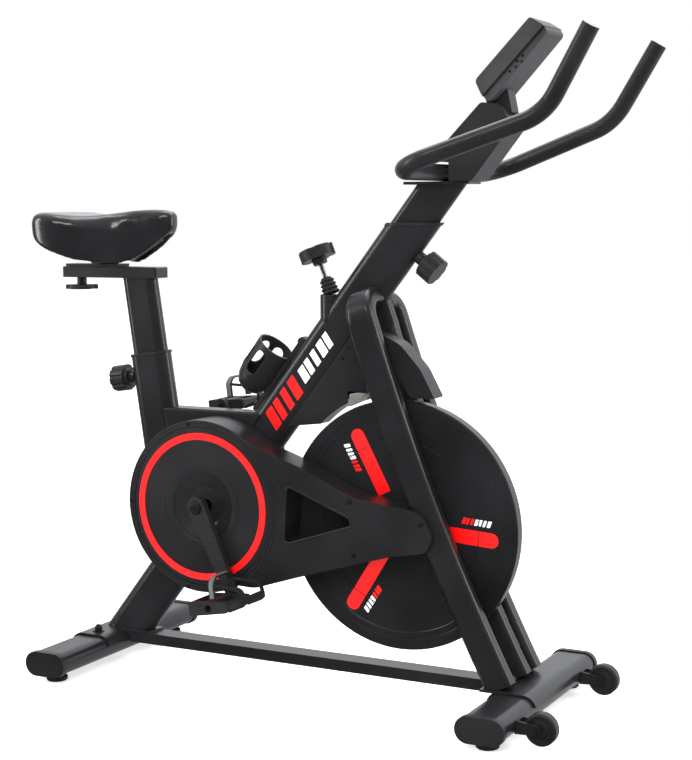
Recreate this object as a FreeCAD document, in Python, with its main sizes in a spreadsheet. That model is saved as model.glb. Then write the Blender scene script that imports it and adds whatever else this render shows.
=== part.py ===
import FreeCAD, Part
import math
import os
import Sketcher
from FreeCAD import Placement, Rotation, Vector

# Belt-drive spin bike. Row frame: +X towards the handlebar, +Y to the rider's left,
# +Z up, origin on the floor under the middle of the machine. The belt, its cover and
# the "near" pieces are on the rider's right, at -Y.

doc = FreeCAD.newDocument("SpinBike")
sheet = doc.addObject("Spreadsheet::Sheet", "Sizes")

DRIVING_SIZES = {
    # stabiliser bars, their caps, feet and transport wheels
    "bar_length": 440, "bar_depth": 80, "bar_height": 40, "bar_wall": 2, "bar_middle": 35.5,
    "front_bar": 392.5, "rear_bar": -444.5, "cap_length": 12, "cap_lip": 2,
    "saddle_plate": 4, "foot_radius": 19, "foot_height": 8, "foot_inset": 36, "foot_stud": 4,
    "wheel_radius": 26.5, "wheel_width": 20, "wheel_reach": 77.5, "wheel_height": 31.5,
    "wheel_spread": 151, "wheel_bolt": 3.9,
    # main tube from the rear bar up to the stem, and the stem that slides in it
    "oval_depth": 80, "oval_width": 40, "tube_wall": 2, "main_foot": -409.5, "main_top": 812,
    "main_angle": 52, "stem_depth": 70, "stem_width": 30, "stem_wall": 1.8, "stem_top": 880,
    "stem_inserted": 150, "collar_lip": 5,
    # seat tube, seat post and top tube
    "seat_tube_mid": -353, "seat_tube_top": 576, "seat_angle": 98.5, "post_inserted": 180,
    "head_bottom": 717, "head_height": 20, "head_width": 40, "head_rear": -529, "head_front": -336,
    "head_plug": 10, "top_tube_top": 483, "top_tube_side": 40,
    # fork legs: 50 x 30 tube, bowed a little, near, middle and far
    "leg_depth": 50, "leg_width": 30, "leg_corner": 11, "leg_foot": 367.5, "leg_head": 116.5,
    "leg_head_height": 655, "leg_bow": 13.5, "leg_near": -66, "leg_middle": 7, "leg_far": 53,
    "leg_near_bend": 38, "leg_far_bend": 27, "lower_tube_height": 20, "lower_tube_width": 40,
    # bottom bracket, cranks and pedals
    "crank_x": -190.5, "crank_z": 320.5, "shell_radius": 22, "shell_bore": 17.5, "shell_half": 30,
    "spindle_radius": 8.5, "spindle_half": 104, "crank_length": 170, "crank_thickness": 13,
    "crank_face": 110, "crank_angle": -64.5, "pedal_length": 76, "pedal_width": 78,
    "pedal_height": 25, "pedal_gap": 3, "pedal_axle": 6,
    # flywheel, pulleys and belt
    "flywheel_x": 168.2, "flywheel_z": 307.1, "flywheel_radius": 214, "rim_inner": 190,
    "flywheel_width": 22, "flywheel_side": -34, "web_thickness": 14, "axle_radius": 6,
    "hub_radius": 32, "bearing_radius": 16, "belt_side": -48, "belt_width": 10, "belt_thickness": 3,
    "drive_pulley": 108, "flywheel_pulley": 28,
    # belt cover
    "cover_side": -92, "cover_wall": 3, "cover_split": -37, "cover_radius": 153, "cover_back": -23,
    "disc_radius": 141, "ring_outer": 131, "ring_inner": 119, "disc_recess": 4,
    # brake
    "boss_x": 23.5, "boss_radius": 20, "boss_top": 694, "rod_tilt": 22, "rod_radius": 4,
    "brake_knob_radius": 31, "brake_knob_height": 19,
    # handlebar and console
    "grip_radius": 14, "grip_wall": 1.8, "cross_x": 236.5, "cross_z": 899, "corner_half": 208,
    "elbow_x": 471.5, "elbow_half": 161, "elbow_z": 980, "end_x": 545.5, "end_half": 169,
    "end_z": 1107, "corner_bend": 52, "elbow_bend": 90, "console_half": 41,
    # knobs on the two tubes
    "pin_knob_radius": 24, "pin_knob_length": 32, "pin_boss": 12, "pin_radius": 5,
    # bottle cage
    "cage_radius": 31, "cage_wall": 3.5, "cup_low": 526, "cup_high": 624, "rail_low": 508,
    "rail_high": 674, "rail_thickness": 8,
}

for row, (alias, number) in enumerate(DRIVING_SIZES.items(), start=1):
    sheet.set("A%d" % row, alias.replace("_", " "))
    sheet.set("B%d" % row, str(number))
    sheet.setAlias("B%d" % row, alias)
doc.recompute()

X_AXIS = Vector(1, 0, 0)
Y_AXIS = Vector(0, 1, 0)
Z_AXIS = Vector(0, 0, 1)
parts = []


# ---------------------------------------------------------------- building blocks

def size(alias):
    """A driving size, read back from the sheet."""
    return float(sheet.get(alias))


def value(amount):
    """The number behind an expression such as 'Sizes.bar_length / 2', or a plain number."""
    if isinstance(amount, str):
        return float(sheet.evalExpression(amount))
    return float(amount)


def keep(item, name):
    """Marks an object as one of the bike's sub-parts, under its node name."""
    item.Label = name
    parts.append(item)
    return item


def along(origin, direction):
    """A placement at origin whose own +Z points along direction."""
    return Placement(origin, Rotation(Z_AXIS, direction))


def upright(angle_deg, origin=Vector()):
    """A placement whose +Z leans in the XZ plane at angle_deg above +X, and whose Y stays Y."""
    return Placement(origin, Rotation(Y_AXIS, 90 - angle_deg))


def bound(item, **amounts):
    """Binds each named property to its expression."""
    for prop, amount in amounts.items():
        item.setExpression(prop, str(amount))
    return item


def cylinder(name, radius, height, placement):
    item = doc.addObject("Part::Cylinder", name)
    bound(item, Radius=radius, Height=height)
    item.Placement = placement
    return item


def box(name, length, width, height, corner, rotation=Rotation()):
    item = doc.addObject("Part::Box", name)
    bound(item, Length=length, Width=width, Height=height)
    item.Placement = Placement(corner, rotation)
    return item


def span(name, low, high):
    """A box between two opposite corners."""
    gap = high.sub(low)
    return box(name, gap.x, gap.y, gap.z, low)


def fuse(name, items):
    item = doc.addObject("Part::MultiFuse", name)
    item.Shapes = items
    return item


def cut(name, base, tools):
    item = doc.addObject("Part::Cut", name)
    item.Base = base
    item.Tool = tools[0] if len(tools) == 1 else fuse(name + "Tools", tools)
    return item


def common(name, items):
    item = doc.addObject("Part::MultiCommon", name)
    item.Shapes = items
    return item


def group(name, items):
    item = doc.addObject("Part::Compound", name)
    item.Links = items
    return item


def shaped(name, shape, placement=Placement()):
    """A Part::Feature for bent tubes and hull-like shells."""
    item = doc.addObject("Part::Feature", name)
    item.Shape = shape
    item.Placement = placement
    return item


def origin_plane(body, role):
    return next(plane for plane in body.Origin.OriginFeatures if plane.Role == role)


def sketch_in(body, name, role):
    sketch = body.newObject("Sketcher::SketchObject", name)
    sketch.AttachmentSupport = (origin_plane(body, role), [""])
    sketch.MapMode = "FlatFace"
    return sketch


def turned(name, profile, placement):
    """A body turned about its own Z from (radius, height) points, each an expression."""
    body = doc.addObject("PartDesign::Body", name)
    sketch = sketch_in(body, name + "Profile", "XZ_Plane")
    points = [Vector(value(radius), value(height), 0) for radius, height in profile]
    count = len(points)
    for index, point in enumerate(points):
        sketch.addGeometry(Part.LineSegment(point, points[(index + 1) % count]), False)
    for index in range(count):
        sketch.addConstraint(Sketcher.Constraint("Coincident", index, 2, (index + 1) % count, 1))
    for index, (radius, height) in enumerate(profile):
        for kind, amount in (("DistanceX", radius), ("DistanceY", height)):
            if value(amount) > 0:
                rule = Sketcher.Constraint(kind, -1, 1, index, 1, value(amount))
                number = sketch.addConstraint(rule)
                sketch.setExpression("Constraints[%d]" % number, str(amount))
    revolution = body.newObject("PartDesign::Revolution", name + "Turn")
    revolution.Profile = sketch
    revolution.ReferenceAxis = (sketch, ["V_Axis"])
    revolution.Angle = 360
    body.Placement = placement
    return body


def rounded_outline(corners):
    """Closed outline through (x, y, radius) corners, each rounded by its radius."""
    count = len(corners)
    joints = []
    for index, (x, y, radius) in enumerate(corners):
        here = Vector(x, y, 0)
        before = Vector(*corners[index - 1][:2], 0).sub(here).normalize()
        after = Vector(*corners[(index + 1) % count][:2], 0).sub(here).normalize()
        half_turn = before.getAngle(after) / 2
        if radius == 0:
            joints.append((here, None, here))
            continue
        reach = radius / math.tan(half_turn)
        inward = before.add(after).normalize()
        middle = here.add(inward * (radius / math.sin(half_turn) - radius))
        joints.append((here.add(before * reach), middle, here.add(after * reach)))
    edges = []
    for index, (start, middle, end) in enumerate(joints):
        if middle is not None:
            edges.append(Part.Arc(start, middle, end))
        next_start = joints[(index + 1) % count][0]
        if end.distanceToPoint(next_start) > 1e-6:
            edges.append(Part.LineSegment(end, next_start))
    return edges


def padded(name, outlines, length, placement, role="XZ_Plane", both=False):
    """A body padded from closed outlines; on XZ_Plane it grows towards -Y."""
    body = doc.addObject("PartDesign::Body", name)
    sketch = sketch_in(body, name + "Outline", role)
    for outline in outlines:
        for edge in outline:
            sketch.addGeometry(edge, False)
    pad = body.newObject("PartDesign::Pad", name + "Pad")
    pad.Profile = sketch
    pad.setExpression("Length", str(length))
    pad.Midplane = both
    body.Placement = placement
    return body


def circle(x, y, radius):
    return [Part.Circle(Vector(x, y, 0), Z_AXIS, radius)]


def flat_oval(depth, width, shrink=0):
    """Outline of a flat-sided tube with round ends, depth along x and width along y."""
    half = depth / 2 - shrink
    radius = width / 2 - shrink
    corner = (half, radius, radius * 0.999)
    return rounded_outline([corner, (-half, radius, corner[2]),
                            (-half, -radius, corner[2]), (half, -radius, corner[2])])


def oval_tube(name, depth, width, wall, length, placement):
    """A hollow flat-oval tube running along its own +Z."""
    outlines = [flat_oval(depth, width), flat_oval(depth, width, wall)]
    return padded(name, outlines, length, placement, "XY_Plane")


def oval_bar(name, depth, width, length, placement):
    return padded(name, [flat_oval(depth, width)], length, placement, "XY_Plane")


# ---------------------------------------------------------------- reference lines

MAIN = math.radians(size("main_angle"))
MAIN_UP = Vector(math.cos(MAIN), 0, math.sin(MAIN))
MAIN_FRONT = Vector(math.sin(MAIN), 0, -math.cos(MAIN))
SEAT = math.radians(size("seat_angle"))
SEAT_UP = Vector(math.cos(SEAT), 0, math.sin(SEAT))
SEAT_FRONT = Vector(math.sin(SEAT), 0, -math.cos(SEAT))
BAR_TOP = size("bar_middle") + size("bar_height") / 2
DECK = BAR_TOP + size("saddle_plate")


def main_point(height):
    """The point of the main tube's centre line at a height."""
    return Vector(size("main_foot") + (height - DECK) / math.tan(MAIN), 0, height)


def seat_point(height):
    """The point of the seat tube's centre line at a height."""
    rise = height - size("seat_tube_top")
    return Vector(size("seat_tube_mid") + rise / math.tan(SEAT), 0, height)


CRANK = Vector(size("crank_x"), 0, size("crank_z"))
WHEEL = Vector(size("flywheel_x"), 0, size("flywheel_z"))


def side(point, y):
    """The same place as point, at another y."""
    return Vector(point.x, y, point.z)


# ---------------------------------------------------------------- stabilisers and feet

def stabiliser(name, x):
    """An 80 x 40 flat-oval bar across the floor, drilled below for its two feet."""
    tube_length = size("bar_length") - 2 * size("cap_length")
    across = Placement(Vector(x, -tube_length / 2, size("bar_middle")), Rotation(X_AXIS, -90))
    bar = oval_tube(name + "Tube", size("bar_depth"), size("bar_height"), size("bar_wall"),
                    "Sizes.bar_length - 2 * Sizes.cap_length", across)
    holes = []
    for y in foot_places():
        holes.append(cylinder(name + "FootHole", "Sizes.foot_stud + 0.5", 12,
                              Placement(Vector(x, y, 10), Rotation())))
    return keep(cut(name, bar, holes), name)


def foot_places():
    reach = size("bar_length") / 2 - size("foot_inset")
    return (-reach, reach)


def end_caps():
    """Four plastic caps that close the bars."""
    caps = []
    for x in (size("front_bar"), size("rear_bar")):
        for start in (-size("bar_length") / 2, size("bar_length") / 2 - size("cap_length")):
            across = Placement(Vector(x, start, size("bar_middle")), Rotation(X_AXIS, -90))
            lip = 2 * size("cap_lip")
            blank = oval_bar("EndCap", size("bar_depth") + lip, size("bar_height") + lip,
                             "Sizes.cap_length", across)
            caps.append(blank)
    return keep(group("stabiliser_end_caps", caps), "stabiliser_end_caps")


def feet():
    """Levelling feet: a rubber pad on a threaded stud that enters the bar."""
    profile = [(0, 0), ("Sizes.foot_radius - 2", 0), ("Sizes.foot_radius", 2),
               ("Sizes.foot_radius", "Sizes.foot_height - 1"),
               ("Sizes.foot_radius - 4", "Sizes.foot_height"), ("Sizes.foot_stud", "Sizes.foot_height"),
               ("Sizes.foot_stud", 26), (0, 26)]
    for end, x in (("front", size("front_bar")), ("rear", size("rear_bar"))):
        for label, y in zip(("near", "far"), foot_places()):
            name = "foot_%s_%s" % (end, label)
            keep(turned(name, profile, Placement(Vector(x, y, 0), Rotation())), name)


def saddle_plate(name, x, low, high, half_width):
    """A bent plate that straps over a bar and carries the tubes welded on it."""
    wrap = 2 * size("saddle_plate")
    start = Vector(x, -half_width, size("bar_middle"))
    over = oval_bar(name + "Over", size("bar_depth") + wrap, size("bar_height") + wrap,
                    2 * half_width, Placement(start, Rotation(X_AXIS, -90)))
    under = oval_bar(name + "Under", size("bar_depth") + 0.2, size("bar_height"),
                     2 * half_width, Placement(start, Rotation(X_AXIS, -90)))
    upper = span(name + "Half", Vector(x - 60, -half_width, size("bar_middle") + 6),
                 Vector(x + 60, half_width, DECK + 1))
    strap = common(name + "Strap", [cut(name + "Shell", over, [under]), upper])
    tongue = span(name + "Tongue", Vector(low, -half_width, BAR_TOP), Vector(high, half_width, DECK))
    return fuse(name, [strap, tongue])


def wheel_places():
    x = size("front_bar") + size("wheel_reach")
    return [Vector(x, side_y, size("wheel_height"))
            for side_y in (-size("wheel_spread"), size("wheel_spread"))]


def transport_wheels():
    """Two plain rollers in front of the front bar, for tipping the bike and rolling it."""
    profile = [("Sizes.wheel_bolt + 0.1", 0), (12, 0), (14, 2.5), (19, 2.5), (21, 0),
               ("Sizes.wheel_radius - 3", 0), ("Sizes.wheel_radius", 3),
               ("Sizes.wheel_radius", "Sizes.wheel_width - 3"),
               ("Sizes.wheel_radius - 3", "Sizes.wheel_width"), (21, "Sizes.wheel_width"),
               (19, "Sizes.wheel_width - 2.5"), (14, "Sizes.wheel_width - 2.5"),
               (12, "Sizes.wheel_width"), ("Sizes.wheel_bolt + 0.1", "Sizes.wheel_width")]
    for label, place in zip(("near", "far"), wheel_places()):
        name = "wheel_" + label
        start = place - Y_AXIS * (size("wheel_width") / 2)
        keep(turned(name, profile, along(start, Y_AXIS)), name)


def wheel_bracket(place):
    """Two cheeks and a web, welded to the front of the bar."""
    half_gap = size("wheel_width") / 2 + 1
    bar_front = size("front_bar") + size("bar_depth") / 2
    cheek = rounded_outline([(bar_front - 3, place.z - 10, 0), (place.x, place.z - 8, 7),
                             (place.x + 8, place.z, 7), (place.x, place.z + 8, 7),
                             (bar_front - 3, place.z + 12, 0)])
    pieces = []
    for y in (place.y - half_gap, place.y + half_gap + 3):
        pieces.append(padded("WheelCheek", [cheek], 3, Placement(Vector(0, y, 0), Rotation())))
    web_low = Vector(bar_front - 3, place.y - half_gap - 1, place.z - 10)
    web_high = Vector(bar_front + 2, place.y + half_gap + 1, place.z + 12)
    blank = fuse("WheelBracketBlank", pieces + [span("WheelWeb", web_low, web_high)])
    length = size("bar_length")
    across = Placement(Vector(size("front_bar"), -length / 2, size("bar_middle")), Rotation(X_AXIS, -90))
    bar = oval_bar("BarClearance", size("bar_depth") + 0.1, size("bar_height") + 0.1, length, across)
    hole = cylinder("WheelBoltHole", "Sizes.wheel_bolt", 60, along(place - Y_AXIS * 30, Y_AXIS))
    tyre = cylinder("WheelClearance", "Sizes.wheel_radius + 1.2", "Sizes.wheel_width + 1",
                    along(place - Y_AXIS * (size("wheel_width") / 2 + 0.5), Y_AXIS))
    return cut("WheelBracket", blank, [bar, hole, tyre])


# ---------------------------------------------------------------- frame tubes

def main_outer():
    """The main tube's outside, from the floor plate past its top, used to cope its neighbours."""
    start = main_point(DECK) - MAIN_UP * 80
    return oval_bar("MainOutside", size("oval_depth"), size("oval_width"), 1120,
                    upright(size("main_angle"), start))


def seat_outer(start_height, length):
    return oval_bar("SeatOutside", size("oval_depth"), size("oval_width"), length,
                    upright(size("seat_angle"), seat_point(start_height)))


def rod_direction():
    tilt = math.radians(size("rod_tilt"))
    return Vector(-math.sin(tilt), 0, math.cos(tilt))


def rod_seat():
    """Where the brake rod leaves the top of its boss."""
    return Vector(size("boss_x"), 0, size("boss_top"))


def stem_pin_point():
    return main_point(785)


def seat_pin_point():
    return seat_point(541)


def main_tube():
    """One straight flat-oval tube from the rear bar, past the crank shell, to the stem."""
    start = main_point(DECK) - MAIN_UP * 80
    tube = oval_tube("MainStock", size("oval_depth"), size("oval_width"), size("tube_wall"), 1120,
                     upright(size("main_angle"), start))
    trim_low = span("MainTrimLow", Vector(-700, -60, -200), Vector(0, 60, DECK))
    trim_top = span("MainTrimTop", Vector(0, -60, size("main_top")), Vector(500, 60, 1100))
    shell = cylinder("ShellHole", "Sizes.shell_radius + 0.02", 80, along(side(CRANK, -40), Y_AXIS))
    rod = cylinder("RodHole", "Sizes.rod_radius + 2", 240, along(rod_seat() - rod_direction() * 200,
                                                                rod_direction()))
    pin = cylinder("StemPinHole", "Sizes.pin_radius + 1", 40, along(stem_pin_point() + MAIN_FRONT * 20,
                                                                   MAIN_FRONT))
    return keep(cut("main_tube", tube, [trim_low, trim_top, shell, rod, pin]), "main_tube")


def seat_tube():
    tube = oval_tube("SeatStock", size("oval_depth"), size("oval_width"), size("tube_wall"), 440,
                     upright(size("seat_angle"), seat_point(size("seat_tube_top")) - SEAT_UP * 440))
    below = span("SeatTrim", Vector(-500, -60, 60), Vector(0, 60, 200))
    shell = cylinder("SeatShellHole", "Sizes.shell_radius + 0.5", 80, along(side(CRANK, -40), Y_AXIS))
    start = seat_pin_point() - SEAT_FRONT * 60
    pin = cylinder("SeatPinHole", "Sizes.pin_radius + 1", 40, along(start, SEAT_FRONT))
    return keep(cut("seat_tube", tube, [main_outer(), below, shell, pin, under_main()]), "seat_tube")


def under_main():
    """Everything in front of the main tube's centre plane, low down."""
    corners = [main_point(DECK), main_point(480), Vector(400, 0, 480), Vector(400, 0, DECK)]
    outline = rounded_outline([(corner.x, corner.z, 0) for corner in corners])
    return padded("UnderMain", [outline], 120, Placement(Vector(0, 0, 0), Rotation()), both=True)


def top_tube():
    """A square tube that ties the seat tube to the main tube."""
    half = size("top_tube_side") / 2
    middle = size("top_tube_top") - half
    outer = rounded_outline([(half, half, 5), (-half, half, 5), (-half, -half, 5), (half, -half, 5)])
    inner_half = half - size("tube_wall")
    inner = rounded_outline([(inner_half, inner_half, 3), (-inner_half, inner_half, 3),
                             (-inner_half, -inner_half, 3), (inner_half, -inner_half, 3)])
    start = seat_point(middle)
    reach = main_point(middle).x - start.x
    stock = padded("TopStock", [outer, inner], reach, along(start, X_AXIS), "XY_Plane")
    return keep(cut("top_tube", stock, [main_outer(), seat_outer(380, 180)]), "top_tube")


def bb_shell():
    length = 2 * size("shell_half")
    start = side(CRANK, -size("shell_half"))
    profile = [("Sizes.shell_bore", 0), ("Sizes.shell_radius", 0), ("Sizes.shell_radius", length),
               ("Sizes.shell_bore", length)]
    return keep(turned("bb_shell", profile, along(start, Y_AXIS)), "bb_shell")


def lower_tube():
    """The low rectangular tube that ties the two bars together."""
    low = Vector(size("rear_bar") + size("bar_depth") / 2, -size("lower_tube_width") / 2,
                 BAR_TOP - size("lower_tube_height"))
    high = Vector(size("front_bar") - size("bar_depth") / 2, size("lower_tube_width") / 2, BAR_TOP)
    wall = Vector(0, size("tube_wall"), size("tube_wall"))
    extra = Vector(21, 0, 0)
    stock = cut("LowerStock", span("LowerOuter", low - extra, high + extra),
                [span("LowerInner", low - extra * 2 + wall, high + extra * 2 - wall)])
    bars = []
    for x in (size("front_bar"), size("rear_bar")):
        across = Placement(Vector(x, -60, size("bar_middle")), Rotation(X_AXIS, -90))
        wrap = 2 * size("saddle_plate")
        bars.append(oval_bar("BarCope", size("bar_depth") + wrap, size("bar_height") + wrap, 120, across))
    return keep(cut("lower_tube", stock, bars), "lower_tube")


def leg_face(at, tangent, shrink):
    """The leg's rounded section, depth across the tangent and width along Y."""
    half_depth = size("leg_depth") / 2 - shrink
    half_width = size("leg_width") / 2 - shrink
    radius = size("leg_corner") - shrink
    outline = rounded_outline([(half_depth, half_width, radius), (-half_depth, half_width, radius),
                               (-half_depth, -half_width, radius), (half_depth, -half_width, radius)])
    wire = Part.Wire(Part.__sortEdges__([edge.toShape() for edge in outline]))
    angle = math.degrees(math.atan2(tangent.z, tangent.x))
    wire.Placement = upright(angle, at)
    return wire


def leg_arc():
    """Centre, foot and head of the leg's long arc in the XZ plane, and its signed sweep."""
    foot = Vector(size("leg_foot"), 0, DECK)
    head = Vector(size("leg_head"), 0, size("leg_head_height"))
    chord = head.sub(foot)
    radius = (chord.Length ** 2 / 4 + size("leg_bow") ** 2) / (2 * size("leg_bow"))
    back = Vector(-chord.z, 0, chord.x).normalize()
    centre = foot.add(chord * 0.5).sub(back * (radius - size("leg_bow")))
    sweep = math.degrees(foot.sub(centre).getAngle(head.sub(centre)))
    if head.distanceToPoint(spin(foot, centre, sweep)) > 1:
        sweep = -sweep
    return centre, foot, head, sweep


def tangent_at(point, centre):
    """The leg's upward direction at a point of its arc."""
    spoke = point.sub(centre)
    return Vector(spoke.z, 0, -spoke.x).normalize()


def leg_run(y, shrink, extra):
    """The bowed length of a leg, swept round its arc and carried on by extra degrees."""
    centre, foot, head, sweep = leg_arc()
    section = Part.Face(leg_face(side(foot, y), tangent_at(foot, centre), shrink))
    return section.revolve(side(centre, y), Y_AXIS, sweep + math.copysign(extra, sweep))


def leg_elbow(y, bend, turn, shrink):
    """The head of an outer leg: a quarter bend and a short run to the main tube."""
    centre, foot, head, sweep = leg_arc()
    upward = tangent_at(head, centre)
    end = Part.Face(leg_face(side(head, y), upward, shrink))
    hinge = side(head, y + turn * bend)
    across = upward.cross(Y_AXIS * turn)
    top = end.copy()
    top.rotate(hinge, across, 90)
    reach = abs(y) - bend - size("oval_width") / 2 + 8
    return [end.revolve(hinge, across, 90), top.extrude(Y_AXIS * (turn * reach))]


def fork_leg(name, y, bend, turn):
    """A bowed leg; turn is +1 or -1 where its head bends over to the main tube, else 0."""
    shells = []
    for shrink in (0, size("tube_wall")):
        solid = leg_run(y, shrink, 0 if turn else 0.9)
        if turn:
            solid = solid.fuse(leg_elbow(y, bend, turn, shrink)).removeSplitter()
        shells.append(solid)
    blank = shaped(name + "Tube", shells[0].cut(shells[1]))
    trims = [main_outer(), span(name + "Trim", Vector(200, -100, 0), Vector(520, 100, DECK))]
    if turn == 0:
        trims.append(above_main())
    else:
        trims.append(shaped(name + "Weld", leg_run(size("leg_middle"), 0, 0.9)))
    return keep(cut(name, blank, trims), name)


def spin(point, centre, angle):
    return Rotation(Y_AXIS, angle).multVec(point.sub(centre)).add(centre)


def above_main():
    """Everything behind the main tube's centre plane, high up."""
    corners = [main_point(500), main_point(860), Vector(-200, 0, 860), Vector(-200, 0, 500)]
    outline = rounded_outline([(corner.x, corner.z, 0) for corner in corners])
    return padded("AboveMain", [outline], 120, Placement(), both=True)


def brake_boss():
    """A short tube welded on the main tube, which guides the brake rod."""
    low = 600
    blank = cylinder("BossBlank", "Sizes.boss_radius", size("boss_top") - low,
                     Placement(Vector(size("boss_x"), 0, low), Rotation()))
    bore = cylinder("BossBore", "Sizes.rod_radius + 2", 260,
                    along(rod_seat() - rod_direction() * 200, rod_direction()))
    return cut("BrakeBoss", blank, [main_outer(), bore, boss_trim()])


def boss_trim():
    """What would otherwise stand out in front of the main tube."""
    corners = [main_point(560), main_point(740), Vector(300, 0, 740), Vector(300, 0, 560)]
    outline = rounded_outline([(corner.x, corner.z, 0) for corner in corners])
    return padded("BossTrim", [outline], 120, Placement(), both=True)


def pin_boss(name, point, outward, depth):
    """A threaded boss welded on a tube for a pull pin."""
    profile = [("Sizes.pin_radius + 0.3", 0), (11, 0), (11, "Sizes.pin_boss - 2"), (9, "Sizes.pin_boss"),
               ("Sizes.pin_radius + 0.3", "Sizes.pin_boss")]
    return turned(name, profile, along(point + outward * (depth / 2), outward))


def welded_brackets():
    """Small steel pieces welded on the frame, as one node of separate solids."""
    half = size("oval_depth")
    rear = saddle_plate("RearPlate", size("rear_bar"), size("rear_bar"), size("rear_bar") + 92, 22)
    rear_strap = saddle_plate("RearStrap", size("rear_bar"), size("rear_bar") - 18,
                              size("rear_bar") + 18, 82)
    front = saddle_plate("FrontPlate", size("front_bar"), size("front_bar") - 56,
                         size("front_bar") + 18, 86)
    pieces = [fuse("RearSaddle", [rear, rear_strap]), front, brake_boss(),
              pin_boss("StemPinBoss", stem_pin_point(), MAIN_FRONT, half),
              pin_boss("SeatPinBoss", seat_pin_point(), SEAT_FRONT * -1, half)]
    pieces += [wheel_bracket(place) for place in wheel_places()]
    return keep(group("welded_brackets", pieces), "welded_brackets")


def collar(name, placement, outer_depth, outer_width, inner_depth, inner_width, length):
    """A plastic bush that fills the gap between a tube and the tube sliding in it."""
    slip = 0.5
    outlines = [flat_oval(outer_depth - 0.1, outer_width - 0.1),
                flat_oval(inner_depth + slip, inner_width + slip)]
    return padded(name, outlines, length, placement, "XY_Plane")


def tube_collars():
    wall = 2 * size("tube_wall")
    depth, width = size("oval_depth"), size("oval_width")
    sizes = (depth - wall, width - wall, size("stem_depth"), size("stem_width"))
    seat_top = seat_point(size("seat_tube_top"))
    pin = cylinder("CollarPinHole", "Sizes.pin_radius + 1", 60,
                   along(seat_pin_point() - SEAT_FRONT * 60, SEAT_FRONT))
    bush = collar("SeatBush", upright(size("seat_angle"), seat_top - SEAT_UP * 70), *sizes, 70)
    lip = collar("SeatLip", upright(size("seat_angle"), seat_top), depth + 3, width + 3,
                 sizes[2], sizes[3], "Sizes.collar_lip")
    seat = cut("SeatCollar", fuse("SeatCollarBlank", [bush, lip]), [pin])
    top = main_point(size("main_top"))
    stem_bush = collar("StemBush", upright(size("main_angle"), top - MAIN_UP * 90), *sizes, 150)
    trim = span("StemBushTrim", Vector(0, -60, size("main_top")), Vector(500, 60, 1000))
    stem_lip = collar("StemLip", upright(size("main_angle"), top - MAIN_UP * 60), depth + 3, width + 3,
                      sizes[2], sizes[3], 150)
    slab = span("StemLipSlab", Vector(0, -60, size("main_top")),
                Vector(500, 60, size("main_top") + size("collar_lip")))
    stem_pin = cylinder("StemCollarHole", "Sizes.pin_radius + 1", 60,
                        along(stem_pin_point(), MAIN_FRONT))
    stem = cut("StemCollar", fuse("StemCollarBlank", [cut("StemBushCut", stem_bush, [trim]),
                                                      common("StemLipCut", [stem_lip, slab])]), [stem_pin])
    return keep(group("tube_collars", [seat, stem]), "tube_collars")


# ---------------------------------------------------------------- crank drive

def ring_profile(inner, outer, length):
    return [(inner, 0), (outer, 0), (outer, length), (inner, length)]


def bb_bearings():
    bearings = []
    for y in (-size("shell_half"), size("shell_half") - 12):
        profile = ring_profile("Sizes.spindle_radius + 0.02", "Sizes.shell_bore", 12)
        bearings.append(turned("ShellBearing", profile, along(side(CRANK, y), Y_AXIS)))
    return keep(group("bb_bearings", bearings), "bb_bearings")


def crank_spindle():
    half = size("spindle_half")
    profile = [(0, 0), ("Sizes.spindle_radius - 1", 0), ("Sizes.spindle_radius", 1),
               ("Sizes.spindle_radius", 2 * half - 1), ("Sizes.spindle_radius - 1", 2 * half),
               (0, 2 * half)]
    return keep(turned("crank_spindle", profile, along(side(CRANK, -half), Y_AXIS)), "crank_spindle")


def pulley(name, centre, radius, bore, hub, boss=0):
    """A flat-belt pulley with a flange on each side, a thin web and a hub, longer by boss."""
    width = size("belt_width")
    flange = radius + 3.5
    web = 4
    middle = width / 2 + 1
    profile = [(bore, 0), (hub, 0), (hub, middle - web / 2), (radius - 8, middle - web / 2),
               (radius - 8, 0), (flange, 0), (flange, 1), (radius, 1), (radius, width + 1),
               (flange, width + 1), (flange, width + 2), (radius - 8, width + 2),
               (radius - 8, middle + web / 2), (hub, middle + web / 2), (hub, width + 2 + boss),
               (bore, width + 2 + boss)]
    start = side(centre, size("belt_side") - 1)
    return keep(turned(name, profile, along(start, Y_AXIS)), name)


def crank_place(angle_deg, reach):
    turn = math.radians(angle_deg)
    return CRANK.add(Vector(math.cos(turn), 0, math.sin(turn)) * reach)


def crank(name, angle_deg, outward):
    """A forged arm: broad at the spindle, slim at the pedal; outward is -1 near, +1 far."""
    length = size("crank_length")
    outline = rounded_outline([(-20, -17, 16), (20, -17, 20), (length - 10, -10, 8),
                               (length + 14, -12, 11), (length + 14, 12, 11), (length - 10, 10, 8),
                               (20, 17, 20), (-20, 17, 16)])
    holes = [circle(0, 0, size("spindle_radius") + 0.02), circle(length, 0, size("pedal_axle") + 1)]
    face_y = outward * size("crank_face")
    outer_y = face_y if outward > 0 else face_y + size("crank_thickness")
    place = Placement(side(CRANK, outer_y), Rotation(Y_AXIS, -angle_deg))
    return keep(padded(name, [outline] + holes, "Sizes.crank_thickness", place), name)


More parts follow.
